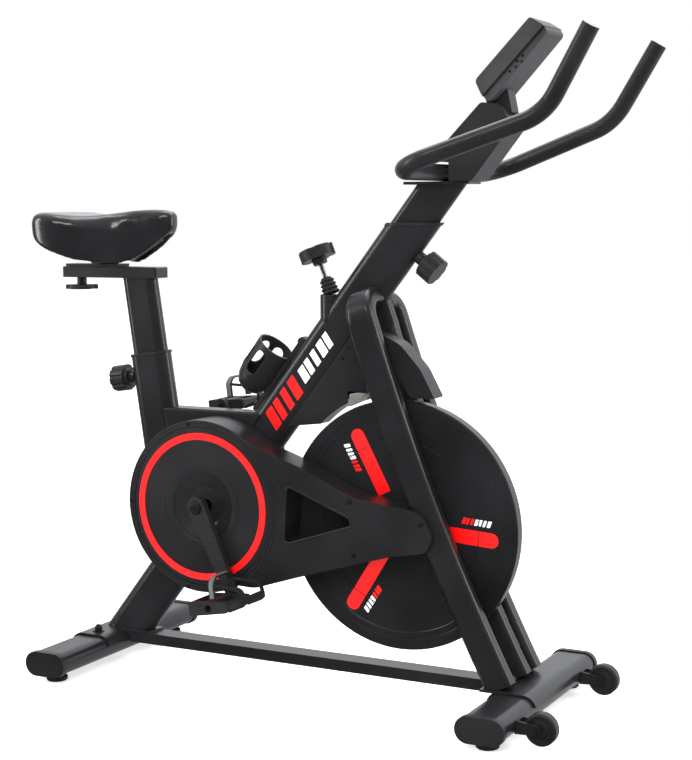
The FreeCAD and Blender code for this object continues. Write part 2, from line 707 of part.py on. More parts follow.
def crank_hardware():
    """Two crank bolts and the two pedal spindles, screwed into the arms."""
    pieces = []
    inner = size("crank_face") - size("crank_thickness")
    for outward, angle in ((-1, size("crank_angle")), (1, size("crank_angle") + 180)):
        head = [(0, 0), (11, 0), (11, 2), (8, 5), (0, 5)]
        start = side(CRANK, outward * size("crank_face"))
        pieces.append(turned("CrankBolt", head, along(start, Y_AXIS * outward)))
        pedal = crank_place(angle, size("crank_length"))
        reach = size("crank_face") + size("pedal_gap") + size("pedal_width") - 12 - inner
        thread, screwed = "Sizes.pedal_axle + 0.98", size("crank_thickness")
        profile = [(0, 0), (thread, 0), (thread, screwed), ("Sizes.pedal_axle", screwed + 1),
                   ("Sizes.pedal_axle", reach), (0, reach)]
        place = along(side(pedal, outward * inner), Y_AXIS * outward)
        pieces.append(turned("PedalSpindle", profile, place))
    return keep(group("crank_hardware", pieces), "crank_hardware")


def pedal(name, angle_deg, outward):
    """A moulded platform pedal that turns on its spindle."""
    length, height = size("pedal_length"), size("pedal_height")
    centre = crank_place(angle_deg, size("crank_length"))
    outline = rounded_outline([(-length / 2, -height / 2, 4), (length / 2, -height / 2 + 4, 5),
                               (length / 2, height / 2 - 3, 4), (-length / 2, height / 2, 3)])
    low = size("crank_face") + size("pedal_gap")
    outer_y = -low if outward < 0 else low + size("pedal_width")
    tilt = Rotation(Y_AXIS, -7)
    body = padded(name + "Body", [outline, circle(0, 0, size("pedal_axle") + 0.08)], "Sizes.pedal_width",
                  Placement(side(centre, outer_y), tilt))
    windows = []
    for sign in (-1, 1):
        corner = Vector(sign * 21 - 12, 12 - size("pedal_width"), -20)
        window = box(name + "Window", 24, "Sizes.pedal_width - 24", 40, Vector())
        window.Placement = Placement(side(centre, outer_y), tilt).multiply(Placement(corner, Rotation()))
        windows.append(window)
    return keep(cut(name, body, windows), name)


def pedal_cage(name, angle_deg, outward):
    """Two thin toe loops with a low lip in front, and the strap that buckles over the shoe."""
    length = size("pedal_length")
    centre = crank_place(angle_deg, size("crank_length"))
    low = size("crank_face") + size("pedal_gap") + 6
    high = low + size("pedal_width") - 12
    front = length / 2
    rib = [(front + 0.3, -9, 0), (front + 36, 2, 12), (front + 31, 32, 14), (front - 28, 41, 1.5),
           (front - 28, 36.5, 1.5), (front + 26, 28, 11), (front + 30, 6, 9), (front + 0.3, -4, 0)]
    lean = Rotation(Y_AXIS, -7)
    bars = []
    width = 4.5
    for y in (low, high - width):
        outer_y = -y if outward < 0 else y + width
        bars.append(padded("CageBar", [rounded_outline(rib)], width,
                           Placement(side(centre, outer_y), lean)))
    lip = [(front + 31, 4, 0), (front + 34.6, 4, 0), (front + 33.4, 17, 1), (front + 29.4, 17, 1)]
    outer_y = -low if outward < 0 else high
    bars.append(padded("CageLip", [rounded_outline(lip)], high - low,
                       Placement(side(centre, outer_y), lean)))
    return keep(fuse(name, bars + [strap(centre, low, high, outward)]), name)


def strap(centre, low, high, outward):
    """A flat strap arched over the pedal from its inner edge to its outer edge."""
    half = (high - low) / 2 + 1.2
    shoulder, top = 41, 52
    band = 2.4
    base = size("pedal_height") / 2 + 0.6
    corners = [(-half, base), (-half, shoulder), (-half + 12, top), (half - 12, top),
               (half, shoulder), (half, base)]
    radii = [0, 12, 16, 16, 12, 0]
    outer = [(x, z, radius) for (x, z), radius in zip(corners, radii)]
    inner = [(half - band, base, 0), (half - band, shoulder - 1, 10), (half - 13, top - band, 14),
             (-half + 13, top - band, 14), (-half + band, shoulder - 1, 10), (-half + band, base, 0)]
    body = doc.addObject("PartDesign::Body", "Strap")
    sketch = sketch_in(body, "StrapOutline", "YZ_Plane")
    for edge in rounded_outline(outer + inner):
        sketch.addGeometry(edge, False)
    pad = body.newObject("PartDesign::Pad", "StrapPad")
    pad.Profile = sketch
    pad.Length = 12
    middle_y = outward * (low + high) / 2
    place = Placement(side(centre, middle_y), Rotation(Y_AXIS, -7))
    body.Placement = place.multiply(Placement(Vector(2, 0, 0), Rotation()))
    return body


# ---------------------------------------------------------------- flywheel and belt

def flywheel():
    """Cast wheel: a heavy rim, a thin web dished on both sides and a bored hub."""
    width = size("flywheel_width")
    web_low = (width - size("web_thickness")) / 2
    web_high = width - web_low
    rim = size("flywheel_radius")
    profile = [("Sizes.bearing_radius", 0), ("Sizes.hub_radius", 0),
               (size("hub_radius") + 3, web_low - 2.5), (183, web_low - 2.5),
               (184, web_low - 3.2), ("Sizes.rim_inner + 5", web_low - 3.2),
               ("Sizes.rim_inner + 7", 0), (rim - 2, 0), (rim, 2), (rim, width - 2), (rim - 2, width),
               ("Sizes.rim_inner", width), ("Sizes.rim_inner - 3", web_high),
               (size("hub_radius") + 3, web_high), ("Sizes.hub_radius", width),
               ("Sizes.bearing_radius", width)]
    start = side(WHEEL, size("flywheel_side"))
    return keep(turned("flywheel", profile, along(start, Y_AXIS)), "flywheel")


def flywheel_bearings():
    bearings = []
    for y in (size("flywheel_side") + 1, size("flywheel_side") + size("flywheel_width") - 9):
        profile = ring_profile("Sizes.axle_radius + 0.02", "Sizes.bearing_radius", 8)
        bearings.append(turned("WheelBearing", profile, along(side(WHEEL, y), Y_AXIS)))
    return keep(group("flywheel_bearings", bearings), "flywheel_bearings")


def flywheel_axle():
    """A threaded steel axle held in the near and middle legs, with a nut and washer outside each."""
    start_y = size("leg_near") - size("leg_width") / 2 - 7
    reach = size("leg_middle") + size("leg_width") / 2 + 9 - start_y
    profile = [(0, 0), ("Sizes.axle_radius - 1", 0), ("Sizes.axle_radius", 1),
               ("Sizes.axle_radius", reach - 1), ("Sizes.axle_radius - 1", reach), (0, reach)]
    return keep(turned("flywheel_axle", profile, along(side(WHEEL, start_y), Y_AXIS)), "flywheel_axle")


def belt_outline(drive_radius, wheel_radius):
    """The open loop round both pulleys: two straight runs and two arcs."""
    gap = WHEEL.sub(CRANK)
    heading = math.atan2(gap.z, gap.x)
    lean = math.acos((drive_radius - wheel_radius) / gap.Length)
    points = []
    for sign in (1, -1):
        turn = heading + sign * lean
        spoke = Vector(math.cos(turn), math.sin(turn), 0)
        points.append((Vector(CRANK.x, CRANK.z, 0).add(spoke * drive_radius),
                       Vector(WHEEL.x, WHEEL.z, 0).add(spoke * wheel_radius)))
    ahead = Vector(math.cos(heading), math.sin(heading), 0)
    front = Vector(WHEEL.x, WHEEL.z, 0).add(ahead * wheel_radius)
    back = Vector(CRANK.x, CRANK.z, 0).sub(ahead * drive_radius)
    (upper_drive, upper_wheel), (lower_drive, lower_wheel) = points
    return [Part.LineSegment(upper_drive, upper_wheel), Part.Arc(upper_wheel, front, lower_wheel),
            Part.LineSegment(lower_wheel, lower_drive), Part.Arc(lower_drive, back, upper_drive)]


def drive_belt():
    slack = 0.3
    inner = belt_outline(size("drive_pulley") + slack, size("flywheel_pulley") + slack)
    thick = size("belt_thickness")
    outer = belt_outline(size("drive_pulley") + thick, size("flywheel_pulley") + thick)
    start_y = size("belt_side") + size("belt_width") - 0.3
    return keep(padded("drive_belt", [outer, inner], "Sizes.belt_width - 0.6",
                       Placement(Vector(0, start_y, 0), Rotation())), "drive_belt")


# ---------------------------------------------------------------- belt cover

COVER_ARM = [(-110, 444, 60), (8, 404, 60), (104, 360, 90), (211, 347, 20), (236, 339, 14),
             (256, 301, 22), (243, 277, 14), (178, 265, 60), (6, 214, 90), (-84, 185, 60)]
COVER_WINDOW = [(-18, 371, 7), (103, 324, 5), (107, 310, 5), (-25, 267, 9)]


def arm_outline(shrink):
    """The arm of the cover, from inside the drum to its rounded front end."""
    middle = 305
    corners = [(-190, 452 - shrink, 0)]
    for x, z, radius in COVER_ARM:
        inward = 1 if z > middle else -1
        new_x = x - shrink if x > 220 else x
        corners.append((new_x, z - inward * shrink, radius))
    corners.append((-190, 190 + shrink, 0))
    return rounded_outline(corners)


def cover_solid(name, shrink, front_y, back_y):
    """Drum and arm of the cover as one solid, shrunk inwards by a wall."""
    depth = back_y - front_y
    place = Placement(Vector(0, back_y, 0), Rotation())
    drum = cylinder(name + "Drum", size("cover_radius") - shrink, depth,
                    along(side(CRANK, front_y), Y_AXIS))
    arm = padded(name + "Arm", [arm_outline(shrink)], depth, place)
    return fuse(name, [drum, arm])


def window_solid(name, grow, front_y, back_y):
    corners = []
    middle_x = sum(x for x, z, radius in COVER_WINDOW) / 4
    middle_z = sum(z for x, z, radius in COVER_WINDOW) / 4
    for x, z, radius in COVER_WINDOW:
        corners.append((x + math.copysign(grow, x - middle_x), z + math.copysign(grow, z - middle_z),
                        radius + grow))
    return padded(name, [rounded_outline(corners)], back_y - front_y,
                  Placement(Vector(0, back_y, 0), Rotation()))


def leg_clearance(gap):
    """The near leg's outside, grown by a gap, to notch the cover round it."""
    return shaped("LegClearance", leg_run(size("leg_near"), -gap, 0))


def belt_cover():
    """The outer moulding: face, rim wall and window tunnel, notched round the near leg."""
    front, wall, split = size("cover_side"), size("cover_wall"), size("cover_split")
    outside = cover_solid("CoverOutside", 0, front, split)
    inside = cover_solid("CoverInside", wall, front + wall, split + 1)
    hollow = cut("CoverHollow", outside, [inside])
    tunnel = window_solid("WindowTunnel", wall, front + 1, split)
    behind_leg = span("BehindLeg", Vector(206, size("leg_near") + 10, 240), Vector(300, split + 1, 380))
    holes = [window_solid("WindowHole", 0, front - 1, split + 1),
             cylinder("DiscRecess", "Sizes.disc_radius", "Sizes.disc_recess",
                      along(side(CRANK, front), Y_AXIS)),
             cylinder("CoverBore", 74, 20, along(side(CRANK, front - 1), Y_AXIS)),
             leg_clearance(1.5), behind_leg]
    floor_plate = cylinder("DiscFloor", "Sizes.disc_radius + 3", "Sizes.cover_wall + 1.5",
                           along(side(CRANK, front + size("disc_recess") - 1.5), Y_AXIS))
    return keep(cut("belt_cover", fuse("CoverBlank", [hollow, tunnel, floor_plate]), holes), "belt_cover")


def belt_cover_back():
    """The inner moulding, behind the drum, with a hole for the crank shell."""
    wall, split, back = size("cover_wall"), size("cover_split"), size("cover_back")
    gap = 0.2
    outside = cover_solid("BackOutside", 0, split + gap, back)
    inside = cover_solid("BackInside", wall, split - 1, back - wall)
    trim = span("BackTrim", Vector(-60, split - 5, 0), Vector(400, back + 5, 600))
    hole = cylinder("BackBore", "Sizes.shell_radius + 0.6", 20, along(side(CRANK, back - 10), Y_AXIS))
    blank = cut("BackHollow", outside, [inside])
    return keep(cut("belt_cover_back", blank, [trim, hole]), "belt_cover_back")


def cover_disc():
    """A round cap in the cover's recess, coned in towards the spindle."""
    profile = [(12, 15), (34, 15), (64, 0.6), (70, 0), ("Sizes.disc_radius - 1.5", 0),
               ("Sizes.disc_radius - 0.5", 1), ("Sizes.disc_radius - 0.5", 3.6), (71, 3.6), (66, 4.6),
               (36, 18), (12, 18)]
    start = side(CRANK, size("cover_side") + 0.2)
    return keep(turned("cover_disc", profile, along(start, Y_AXIS)), "cover_disc")


def cover_ring():
    """The coloured trim ring on the cap."""
    profile = ring_profile("Sizes.ring_inner", "Sizes.ring_outer", 1.2)
    start = side(CRANK, size("cover_side") - 1.2)
    return keep(turned("cover_ring", profile, along(start, Y_AXIS)), "cover_ring")


def screw_profile():
    return [(0, 0), (4.5, 0), (4.5, 1.4), (3.2, 2.4), (0, 2.4)]


def cover_screws():
    """Pan-head screws round the cover, their heads outside its face."""
    rim = size("cover_radius") - 5
    places = [CRANK.add(Vector(math.cos(math.radians(turn)), 0, math.sin(math.radians(turn))) * rim)
              for turn in (100, 180, 258)]
    places += [Vector(103, 0, 352), Vector(234, 0, 325), Vector(110, 0, 262)]
    screws = []
    for place in places:
        screws.append(turned("CoverScrew", screw_profile(),
                             along(side(place, size("cover_side")), Y_AXIS * -1)))
    return keep(group("cover_screws", screws), "cover_screws")


# ---------------------------------------------------------------- guards and bottle cage

def tube_guard():
    """A hollow moulding under the main tube that closes the gap above the flywheel."""
    def outline(shrink):
        arc_radius = size("flywheel_radius") + 14 + shrink
        start_turn, end_turn = math.radians(134.5), math.radians(107.5)
        middle = (start_turn + end_turn) / 2
        centre = Vector(WHEEL.x, WHEEL.z, 0)
        points = [centre.add(Vector(math.cos(turn), math.sin(turn), 0) * arc_radius)
                  for turn in (start_turn, middle, end_turn)]
        low_left = Vector(main_point(463).x + 46 + shrink, 463 + shrink, 0)
        right = Vector(points[2].x - shrink, points[2].y, 0)
        top = Vector(main_point(640).x + 40, 640, 0)
        upper = Vector(main_point(640).x, 640, 0)
        lower = Vector(main_point(463).x, 463, 0)
        arc = Part.Arc(points[0], points[1], right)
        corners = [upper, lower, low_left, points[0]]
        edges = [Part.LineSegment(a, b) for a, b in zip(corners, corners[1:])]
        edges.append(arc)
        edges.append(Part.LineSegment(right, top))
        edges.append(Part.LineSegment(top, upper))
        return edges
    outer = padded("GuardOuter", [outline(0)], 34, Placement(), both=True)
    inner = padded("GuardInner", [outline(2.5)], 29, Placement(), both=True)
    rod = cylinder("GuardRod", "Sizes.rod_radius + 2", 300, along(rod_seat() - rod_direction() * 250,
                                                                 rod_direction()))
    ferrule = cylinder("GuardFerrule", 10.5, 60, along(rod_seat() - rod_direction() * 212,
                                                       rod_direction()))
    pad_gap = span("GuardPadGap", Vector(62, -30, 480), Vector(112, 12, 529))
    return keep(cut("tube_guard", outer, [inner, main_outer(), rod, ferrule, pad_gap]), "tube_guard")


def flywheel_hood():
    """A channel over the front of the flywheel, between the near and middle legs."""
    top = [(122, 640, 10), (176, 617, 60), (214, 575, 60), (240, 527, 3), (196, 527, 3), (150, 592, 30),
           (118, 622, 6)]
    outer = padded("HoodOuter", [rounded_outline(top)], 37, Placement(Vector(0, -11, 0), Rotation()))
    low = [(100, 652, 0), (119, 637, 10), (174, 613.5, 58), (211, 573, 58), (238, 520, 0), (150, 470, 0),
           (60, 600, 0)]
    inner = padded("HoodInner", [rounded_outline(low)], 31, Placement(Vector(0, -14, 0), Rotation()))
    return keep(cut("flywheel_hood", outer, [inner]), "flywheel_hood")


def cage_frame(distance):
    """A point of the bottle cage's centre line, measured along the main tube from its foot."""
    out = size("oval_depth") / 2 + size("rail_thickness") + size("cage_radius")
    return main_point(DECK).add(MAIN_UP * distance).sub(MAIN_FRONT * out)


def bottle_cage():
    """A rail along the back of the main tube and a windowed cup that holds a bottle."""
    inner, outer = "Sizes.cage_radius", "Sizes.cage_radius + Sizes.cage_wall"
    low = size("cup_low")
    rise = size("cup_high") - low
    place = Placement(cage_frame(low), Rotation(Y_AXIS, 90 - size("main_angle")))
    bowl = [(12, 0), (24, 8), (31, 22), (outer, 42), (outer, rise), (inner, rise), (inner, 42),
            (27.5, 24), (21, 11.5), (12, 3.5)]
    cup = turned("CupBowl", bowl, place)
    windows = []
    for turn in (150, 210, -95, 95):
        window = oval_bar("CupWindow", 48, 22, 50, Placement())
        middle = place.multiply(Placement(Vector(0, 0, 63), Rotation(Z_AXIS, turn)))
        window.Placement = middle.multiply(Placement(Vector(), Rotation(Y_AXIS, 90)))
        windows.append(window)
    shell = cut("CupShell", cup, windows)
    rail_low = size("rail_low")
    rail_start = main_point(DECK).add(MAIN_UP * rail_low).sub(MAIN_FRONT * (size("oval_depth") / 2 + 7))
    rail = box("CageRail", 8, 16, size("rail_high") - rail_low, Vector())
    rail.Placement = Placement(rail_start - Y_AXIS * 8, Rotation(Y_AXIS, 90 - size("main_angle")))
    return keep(cut("bottle_cage", fuse("CageBlank", [shell, rail]), [main_outer()]), "bottle_cage")


def frame_bolts():
    """Cap nuts on both bars, wheel bolts, cage bolts and axle nuts."""
    pieces = []
    cap = [(0, 0), (11, 0), (11, 1.6), (7, 1.6), (7, 7), (5, 11.5), (2, 13), (0, 13)]
    for x, y in ((size("rear_bar"), -57), (size("rear_bar"), 57), (size("front_bar") - 20.5, -30)):
        pieces.append(turned("BarBolt", cap, Placement(Vector(x, y, DECK), Rotation())))
    half = size("wheel_width") / 2 + 4
    bolt = [(0, 0), (6.5, 0), (6.5, 4), ("Sizes.wheel_bolt", 4), ("Sizes.wheel_bolt", 2 * half + 4),
            (6, 2 * half + 4), (6, 2 * half + 9), (0, 2 * half + 9)]
    for place in wheel_places():
        pieces.append(turned("WheelBolt", bolt, along(place - Y_AXIS * (half + 4), Y_AXIS)))
    head = [(0, 0), (6.5, 0), (6.5, 3), (4, 5), (0, 5)]
    back = size("oval_depth") / 2 + 1
    for distance in (size("rail_high") - 10, size("rail_low") + 9):
        start = main_point(DECK).add(MAIN_UP * distance).sub(MAIN_FRONT * (back + 6))
        pieces.append(turned("CageBolt", head, along(start, MAIN_FRONT * -1)))
    nut = ring_profile("Sizes.axle_radius", 10, 5.5)
    near_face = size("leg_near") - size("leg_width") / 2
    far_face = size("leg_middle") + size("leg_width") / 2
    pieces.append(turned("AxleNut", nut, along(side(WHEEL, near_face), Y_AXIS * -1)))
    pieces.append(turned("AxleNut", nut, along(side(WHEEL, far_face), Y_AXIS)))
    return keep(group("frame_bolts", pieces), "frame_bolts")


# ---------------------------------------------------------------- brake

def brake_parts():
    """Push-and-turn brake: knob, rod through the frame, bellows and the pad it presses."""
    up = rod_direction()
    seat = rod_seat()
    knob_foot = seat.add(up * 56)
    rod_low = seat.sub(up * 172)
    rod = turned("brake_rod", [(0, 0), ("Sizes.rod_radius", 0), ("Sizes.rod_radius", 240), (0, 240)],
                 along(rod_low, up))
    keep(rod, "brake_rod")
    knob = star_knob("BrakeKnob", size("brake_knob_radius"), size("brake_knob_height"), 5,
                     along(knob_foot.add(up * 10), up))
    hub = turned("BrakeHub", [("Sizes.rod_radius + 0.05", 0), (12, 0), (13, 4), (13, 10.5),
                              ("Sizes.rod_radius + 0.05", 10.5)], along(knob_foot, up))
    bore = cylinder("KnobBore", "Sizes.rod_radius + 0.05", 17, along(knob_foot.sub(up), up))
    keep(cut("brake_knob", fuse("BrakeKnobBlank", [knob, hub]), [bore]), "brake_knob")
    folds = [("Sizes.rod_radius + 0.6", 0)]
    for index in range(4):
        foot = 7 * index
        folds += [(14 - index, foot + 1), (16.5 - index, foot + 3.5), (14 - index, foot + 6)]
    folds += [(8, 31), ("Sizes.rod_radius + 0.6", 31)]
    bellows = turned("BellowsBlank", folds, along(seat, up))
    below = span("BellowsTrim", Vector(-60, -60, seat.z - 40), Vector(100, 60, seat.z + 0.3))
    keep(cut("brake_bellows", bellows, [below]), "brake_bellows")
    tip = rod_low
    arm = span("PadArm", Vector(tip.x - 13, size("flywheel_side") - 1, tip.z - 14),
               Vector(tip.x + 13, 8, tip.z - 8))
    ferrule = turned("PadFerrule", [("Sizes.rod_radius + 0.05", 0), (9, 0), (9, 26),
                                    ("Sizes.rod_radius + 0.05", 26)],
                     along(tip.sub(up * 10), up))
    block = turned("PadBlank", ring_profile("Sizes.flywheel_radius + 6", "Sizes.flywheel_radius + 18",
                                            size("flywheel_width")),
                   along(side(WHEEL, size("flywheel_side")), Y_AXIS))
    window = span("PadWindow", Vector(tip.x - 16, -60, 400), Vector(tip.x + 20, 60, tip.z - 10))
    shoe = common("PadShoe", [block, window])
    keep(fuse("brake_pad", [arm, ferrule, shoe]), "brake_pad")


def star_knob(name, radius, height, lobes, placement):
    """A knob with round lobes, made by cutting flutes from a disc."""
    body = doc.addObject("PartDesign::Body", name)
    sketch = sketch_in(body, name + "Disc", "XY_Plane")
    sketch.addGeometry(Part.Circle(Vector(), Z_AXIS, radius), False)
    sketch.addConstraint(Sketcher.Constraint("Radius", 0, radius))
    pad = body.newObject("PartDesign::Pad", name + "Pad")
    pad.Profile = sketch
    pad.Length = height
    doc.recompute()
    flute = sketch_in(body, name + "Flute", "XY_Plane")
    bite = radius * math.pi / lobes * 0.36
    flute.addGeometry(Part.Circle(Vector(radius + bite * 0.35, 0, 0), Z_AXIS, bite), False)
    pocket = body.newObject("PartDesign::Pocket", name + "Cut")
    pocket.Profile = flute
    pocket.Length = height
    pocket.Reversed = True
    doc.recompute()
    pattern = body.newObject("PartDesign::PolarPattern", name + "Flutes")
    pattern.Originals = [pocket]
    pattern.Axis = (sketch, ["N_Axis"])
    pattern.Angle = 360
    pattern.Occurrences = lobes
    body.Tip = pattern
    body.Placement = placement
    return body


def pull_pin(name, point, outward, pin_reach):
    """A fluted knob on a spring pin that locks a sliding tube."""
    start = size("oval_depth") / 2 + size("pin_boss") + 0.6
    knob = star_knob(name + "Grip", size("pin_knob_radius"), size("pin_knob_length") - 4, 9,
                     along(point + outward * (start + 4), outward))
    neck = turned(name + "Neck", [(0, 0), (15, 0), (17, 4.2), (0, 4.2)],
                  along(point + outward * start, outward))
    pin = turned(name + "Pin", [(0, 0), ("Sizes.pin_radius - 1", 0), ("Sizes.pin_radius", 2),
                                ("Sizes.pin_radius", start - pin_reach + 1), (0, start - pin_reach + 1)],
                 along(point + outward * pin_reach, outward))
    return keep(fuse(name, [knob, neck, pin]), name)


# ---------------------------------------------------------------- seat

def seat_post():
    bottom = seat_point(size("seat_tube_top")) - SEAT_UP * size("post_inserted")
    tube = oval_tube("PostStock", size("stem_depth"), size("stem_width"), size("stem_wall"), 420,
                     upright(size("seat_angle"), bottom))
    trim = span("PostTrim", Vector(-700, -60, size("head_bottom")), Vector(0, 60, 1000))
    return keep(cut("seat_post", tube, [trim]), "seat_post")


def seat_head():
    """The slotted square tube across the top of the post, with its end plugs."""
    low = Vector(size("head_rear"), -size("head_width") / 2, size("head_bottom"))
    high = Vector(size("head_front"), size("head_width") / 2, size("head_bottom") + size("head_height"))
    wall = Vector(-1, size("tube_wall"), size("tube_wall"))
    tube = span("HeadOuter", low, high)
    hollow = span("HeadInner", low.add(wall), high.sub(wall))
    slot = span("HeadSlot", Vector(-524, -5.5, low.z - 1), Vector(-424, 5.5, high.z + 1))
    front_plug = span("FrontPlug", Vector(high.x, low.y, low.z), high.add(X_AXIS * size("head_plug")))
    rear_plug = span("RearPlug", Vector(low.x - 8, low.y, low.z), Vector(low.x, high.y, high.z))
    plugs = []
    ends = (("FrontEnd", front_plug, (5, 6, 7, 8)), ("RearEnd", rear_plug, (1, 2, 3, 4)))
    for name, plug, edges in ends:
        rounded = doc.addObject("Part::Fillet", name)
        rounded.Base = plug
        rounded.Edges = [(number, 4, 4) for number in edges]
        plugs.append(rounded)
    return keep(group("seat_head", [cut("HeadTube", tube, [hollow, slot])] + plugs), "seat_head")


CARRIAGE_X = -506.5
CLAMP_X = -452
CLAMP_Z = 750.5
STUD_FOOT = 697


def saddle_carriage():
    """A plate that slides on the head, with a stud through its slot and the saddle clamp."""
    top = size("head_bottom") + size("head_height") + 0.3
    plate = span("CarriagePlate", Vector(CARRIAGE_X - 22, -19, top), Vector(CLAMP_X + 40, 19, top + 5))
    stud = cylinder("CarriageStud", 5, top - STUD_FOOT + 1, Placement(Vector(CARRIAGE_X, 0, STUD_FOOT), Rotation()))
    clamp = cylinder("ClampBarrel", 12, 58, along(Vector(CLAMP_X, -29, CLAMP_Z), Y_AXIS))
    flat = span("ClampFlat", Vector(CLAMP_X - 40, -60, top - 60), Vector(CLAMP_X + 40, 60, top + 4))
    return keep(fuse("saddle_carriage", [plate, stud, cut("ClampTrim", clamp, [flat])]),
                "saddle_carriage")


def saddle_half_width(x):
    """Half width of the saddle at x: a narrow nose that flares to the rear."""
    nose, tail = -297, -557
    share = (nose - x) / (nose - tail)
    flare = 1 / (1 + math.exp(-(share - 0.52) * 11))
    return 22 + 74 * flare


def saddle_top(x):
    """Height of the saddle's top along its middle: low waist, raised nose and tail."""
    return 830 + 12 * (1 - math.exp(-((x + 465) / 70) ** 2))


def saddle_bottom(x):
    """Height of the skirt's lower edge at x."""
    if x > -400:
        return 742 + 59 * ((x + 400) / 110) ** 1.2
    return 742 + 45 * ((-400 - x) / 162) ** 2


def saddle_section(x, inset, bottom_gap, top_gap):
    """A D-shaped section across the saddle at x."""
    half = saddle_half_width(x) - inset
    top = saddle_top(x) - top_gap
    bottom = saddle_bottom(x) + bottom_gap
    corner = min(24, half * 0.7, (top - bottom) * 0.4)
    foot = min(10, half * 0.3, (top - bottom) * 0.2)
    outline = rounded_outline([(-half, top, corner), (-half + 6, bottom, foot), (half - 6, bottom, foot),
                               (half, top, corner)])
    wire = Part.Wire(Part.__sortEdges__([edge.toShape() for edge in outline]))
    turn = Rotation(Vector(0, 1, 0), Vector(0, 0, 1), Vector(1, 0, 0), "XYZ")
    wire.Placement = Placement(Vector(x, 0, 0), turn)
    return wire


def saddle():
    """The padded cushion over its moulded base."""
    stations = [-557, -548, -530, -505, -475, -445, -415, -385, -355, -330, -308, -297]
    insets = [22, 9, 1, 0, 0, 0, 0, 0, 0, 1, 5, 12]
    sections = [saddle_section(x, inset, 8 + inset * 0.5, inset * 0.8)
                for x, inset in zip(stations, insets)]
    padding = shaped("SaddlePadding", Part.makeLoft(sections, True, False))
    pocket = span("ClampPocket", Vector(CLAMP_X - 26, -40, 700), Vector(CLAMP_X + 26, 40, CLAMP_Z + 15))
    keep(cut("saddle_cushion", padding, [pocket]), "saddle_cushion")
    base_sections = []
    for x, inset in zip(stations[1:-1], insets[1:-1]):
        half = saddle_half_width(x) - inset - 7
        low = saddle_bottom(x) + inset * 0.5 + 1
        high = low + 6
        outline = rounded_outline([(-half, high, 1.5), (-half + 4, low, 3), (half - 4, low, 3),
                                   (half, high, 1.5)])
        wire = Part.Wire(Part.__sortEdges__([edge.toShape() for edge in outline]))
        turn = Rotation(Vector(0, 1, 0), Vector(0, 0, 1), Vector(1, 0, 0), "XYZ")
        wire.Placement = Placement(Vector(x, 0, 0), turn)
        base_sections.append(wire)
    shell = shaped("SaddleShell", Part.makeLoft(base_sections, True, False))
    socket = cylinder("SaddleSocket", 12.1, 60, along(Vector(CLAMP_X, -30, CLAMP_Z), Y_AXIS))
    return keep(cut("saddle_base", shell, [socket]), "saddle_base")


def saddle_knob():
    """The wing knob under the head that clamps the carriage."""
    centre = Vector(CARRIAGE_X, 0, STUD_FOOT - 2.3)
    neck = turned("SaddleKnobNeck", [(5.3, 0), (9, 0), (9, 15), (5.3, 15)],
                  Placement(centre.add(Vector(0, 0, 7)), Rotation()))
    wings = star_knob("SaddleKnobWings", 30, 8, 3, Placement(centre, Rotation()))
    bore = cylinder("SaddleKnobBore", 5.3, 40, Placement(centre.add(Vector(0, 0, 1)), Rotation()))
    return keep(cut("saddle_knob", fuse("SaddleKnobBlank", [wings, neck]), [bore]), "saddle_knob")


# ---------------------------------------------------------------- handlebar and console

def stem():
    """The sliding tube under the handlebar and the plate welded on its top."""
    bottom = main_point(size("main_top")) - MAIN_UP * size("stem_inserted")
    tube = oval_tube("StemStock", size("stem_depth"), size("stem_width"), size("stem_wall"), 420,
                     upright(size("main_angle"), bottom))
    trim = span("StemTrim", Vector(0, -60, size("stem_top")), Vector(600, 60, 1400))
    plate = span("StemPlate", Vector(size("cross_x") - 64, -25, size("stem_top")),
                 Vector(size("cross_x") + 54, 25, size("stem_top") + 4.7))
    return keep(fuse("stem", [cut("StemTube", tube, [trim]), plate]), "stem")


def handlebar():
    """One bent tube: a cross bar, two arms and two raised ends."""
    right = [Vector(size("cross_x"), size("corner_half"), size("cross_z")),
             Vector(size("elbow_x"), size("elbow_half"), size("elbow_z")),
             Vector(size("end_x"), size("end_half"), size("end_z"))]
    left = [Vector(point.x, -point.y, point.z) for point in reversed(right)]
    route = left + right
    bends = [0, size("elbow_bend"), size("corner_bend"), size("corner_bend"), size("elbow_bend"), 0]
    path = bent_path(route, bends)
    start = route[0]
    heading = route[1].sub(route[0])
    wires = []
    for radius in (size("grip_radius"), size("grip_radius") - size("grip_wall")):
        ring = Part.Wire([Part.makeCircle(radius, start, heading)])
        wires.append(path.makePipeShell([ring], True, False))
    tube = wires[0].cut(wires[1])
    plugs = [end_plug(route[0], route[1]), end_plug(route[-1], route[-2])]
    bar = shaped("HandlebarTube", tube)
    return keep(group("handlebar", [bar] + plugs), "handlebar")


def bent_path(points, radii):
    """Straight runs joined by tangent arcs."""
    edges = []
    last = points[0]
    for index in range(1, len(points) - 1):
        here = points[index]
        before = points[index - 1].sub(here).normalize()
        after = points[index + 1].sub(here).normalize()
        half_turn = before.getAngle(after) / 2
        reach = radii[index] / math.tan(half_turn)
        inward = before.add(after).normalize()
        middle = here.add(inward * (radii[index] / math.sin(half_turn) - radii[index]))
        start, end = here.add(before * reach), here.add(after * reach)
        edges.append(Part.LineSegment(last, start).toShape())
        edges.append(Part.Arc(start, middle, end).toShape())
        last = end
    edges.append(Part.LineSegment(last, points[-1]).toShape())
    return Part.Wire(edges)


def end_plug(end, before):
    inward = before.sub(end).normalize()
    radius = size("grip_radius") - size("grip_wall") - 0.02
    profile = [(0, 0), (radius - 1, 0), (radius, 1), (radius, 14), (0, 14)]
    return turned("EndPlug", profile, along(end, inward))


def console_place():
    """Lower rear corner of the console's near side, and the slope of its face."""
    return Vector(307, 0, 1044), math.degrees(math.atan2(1139 - 1044, 400 - 307))


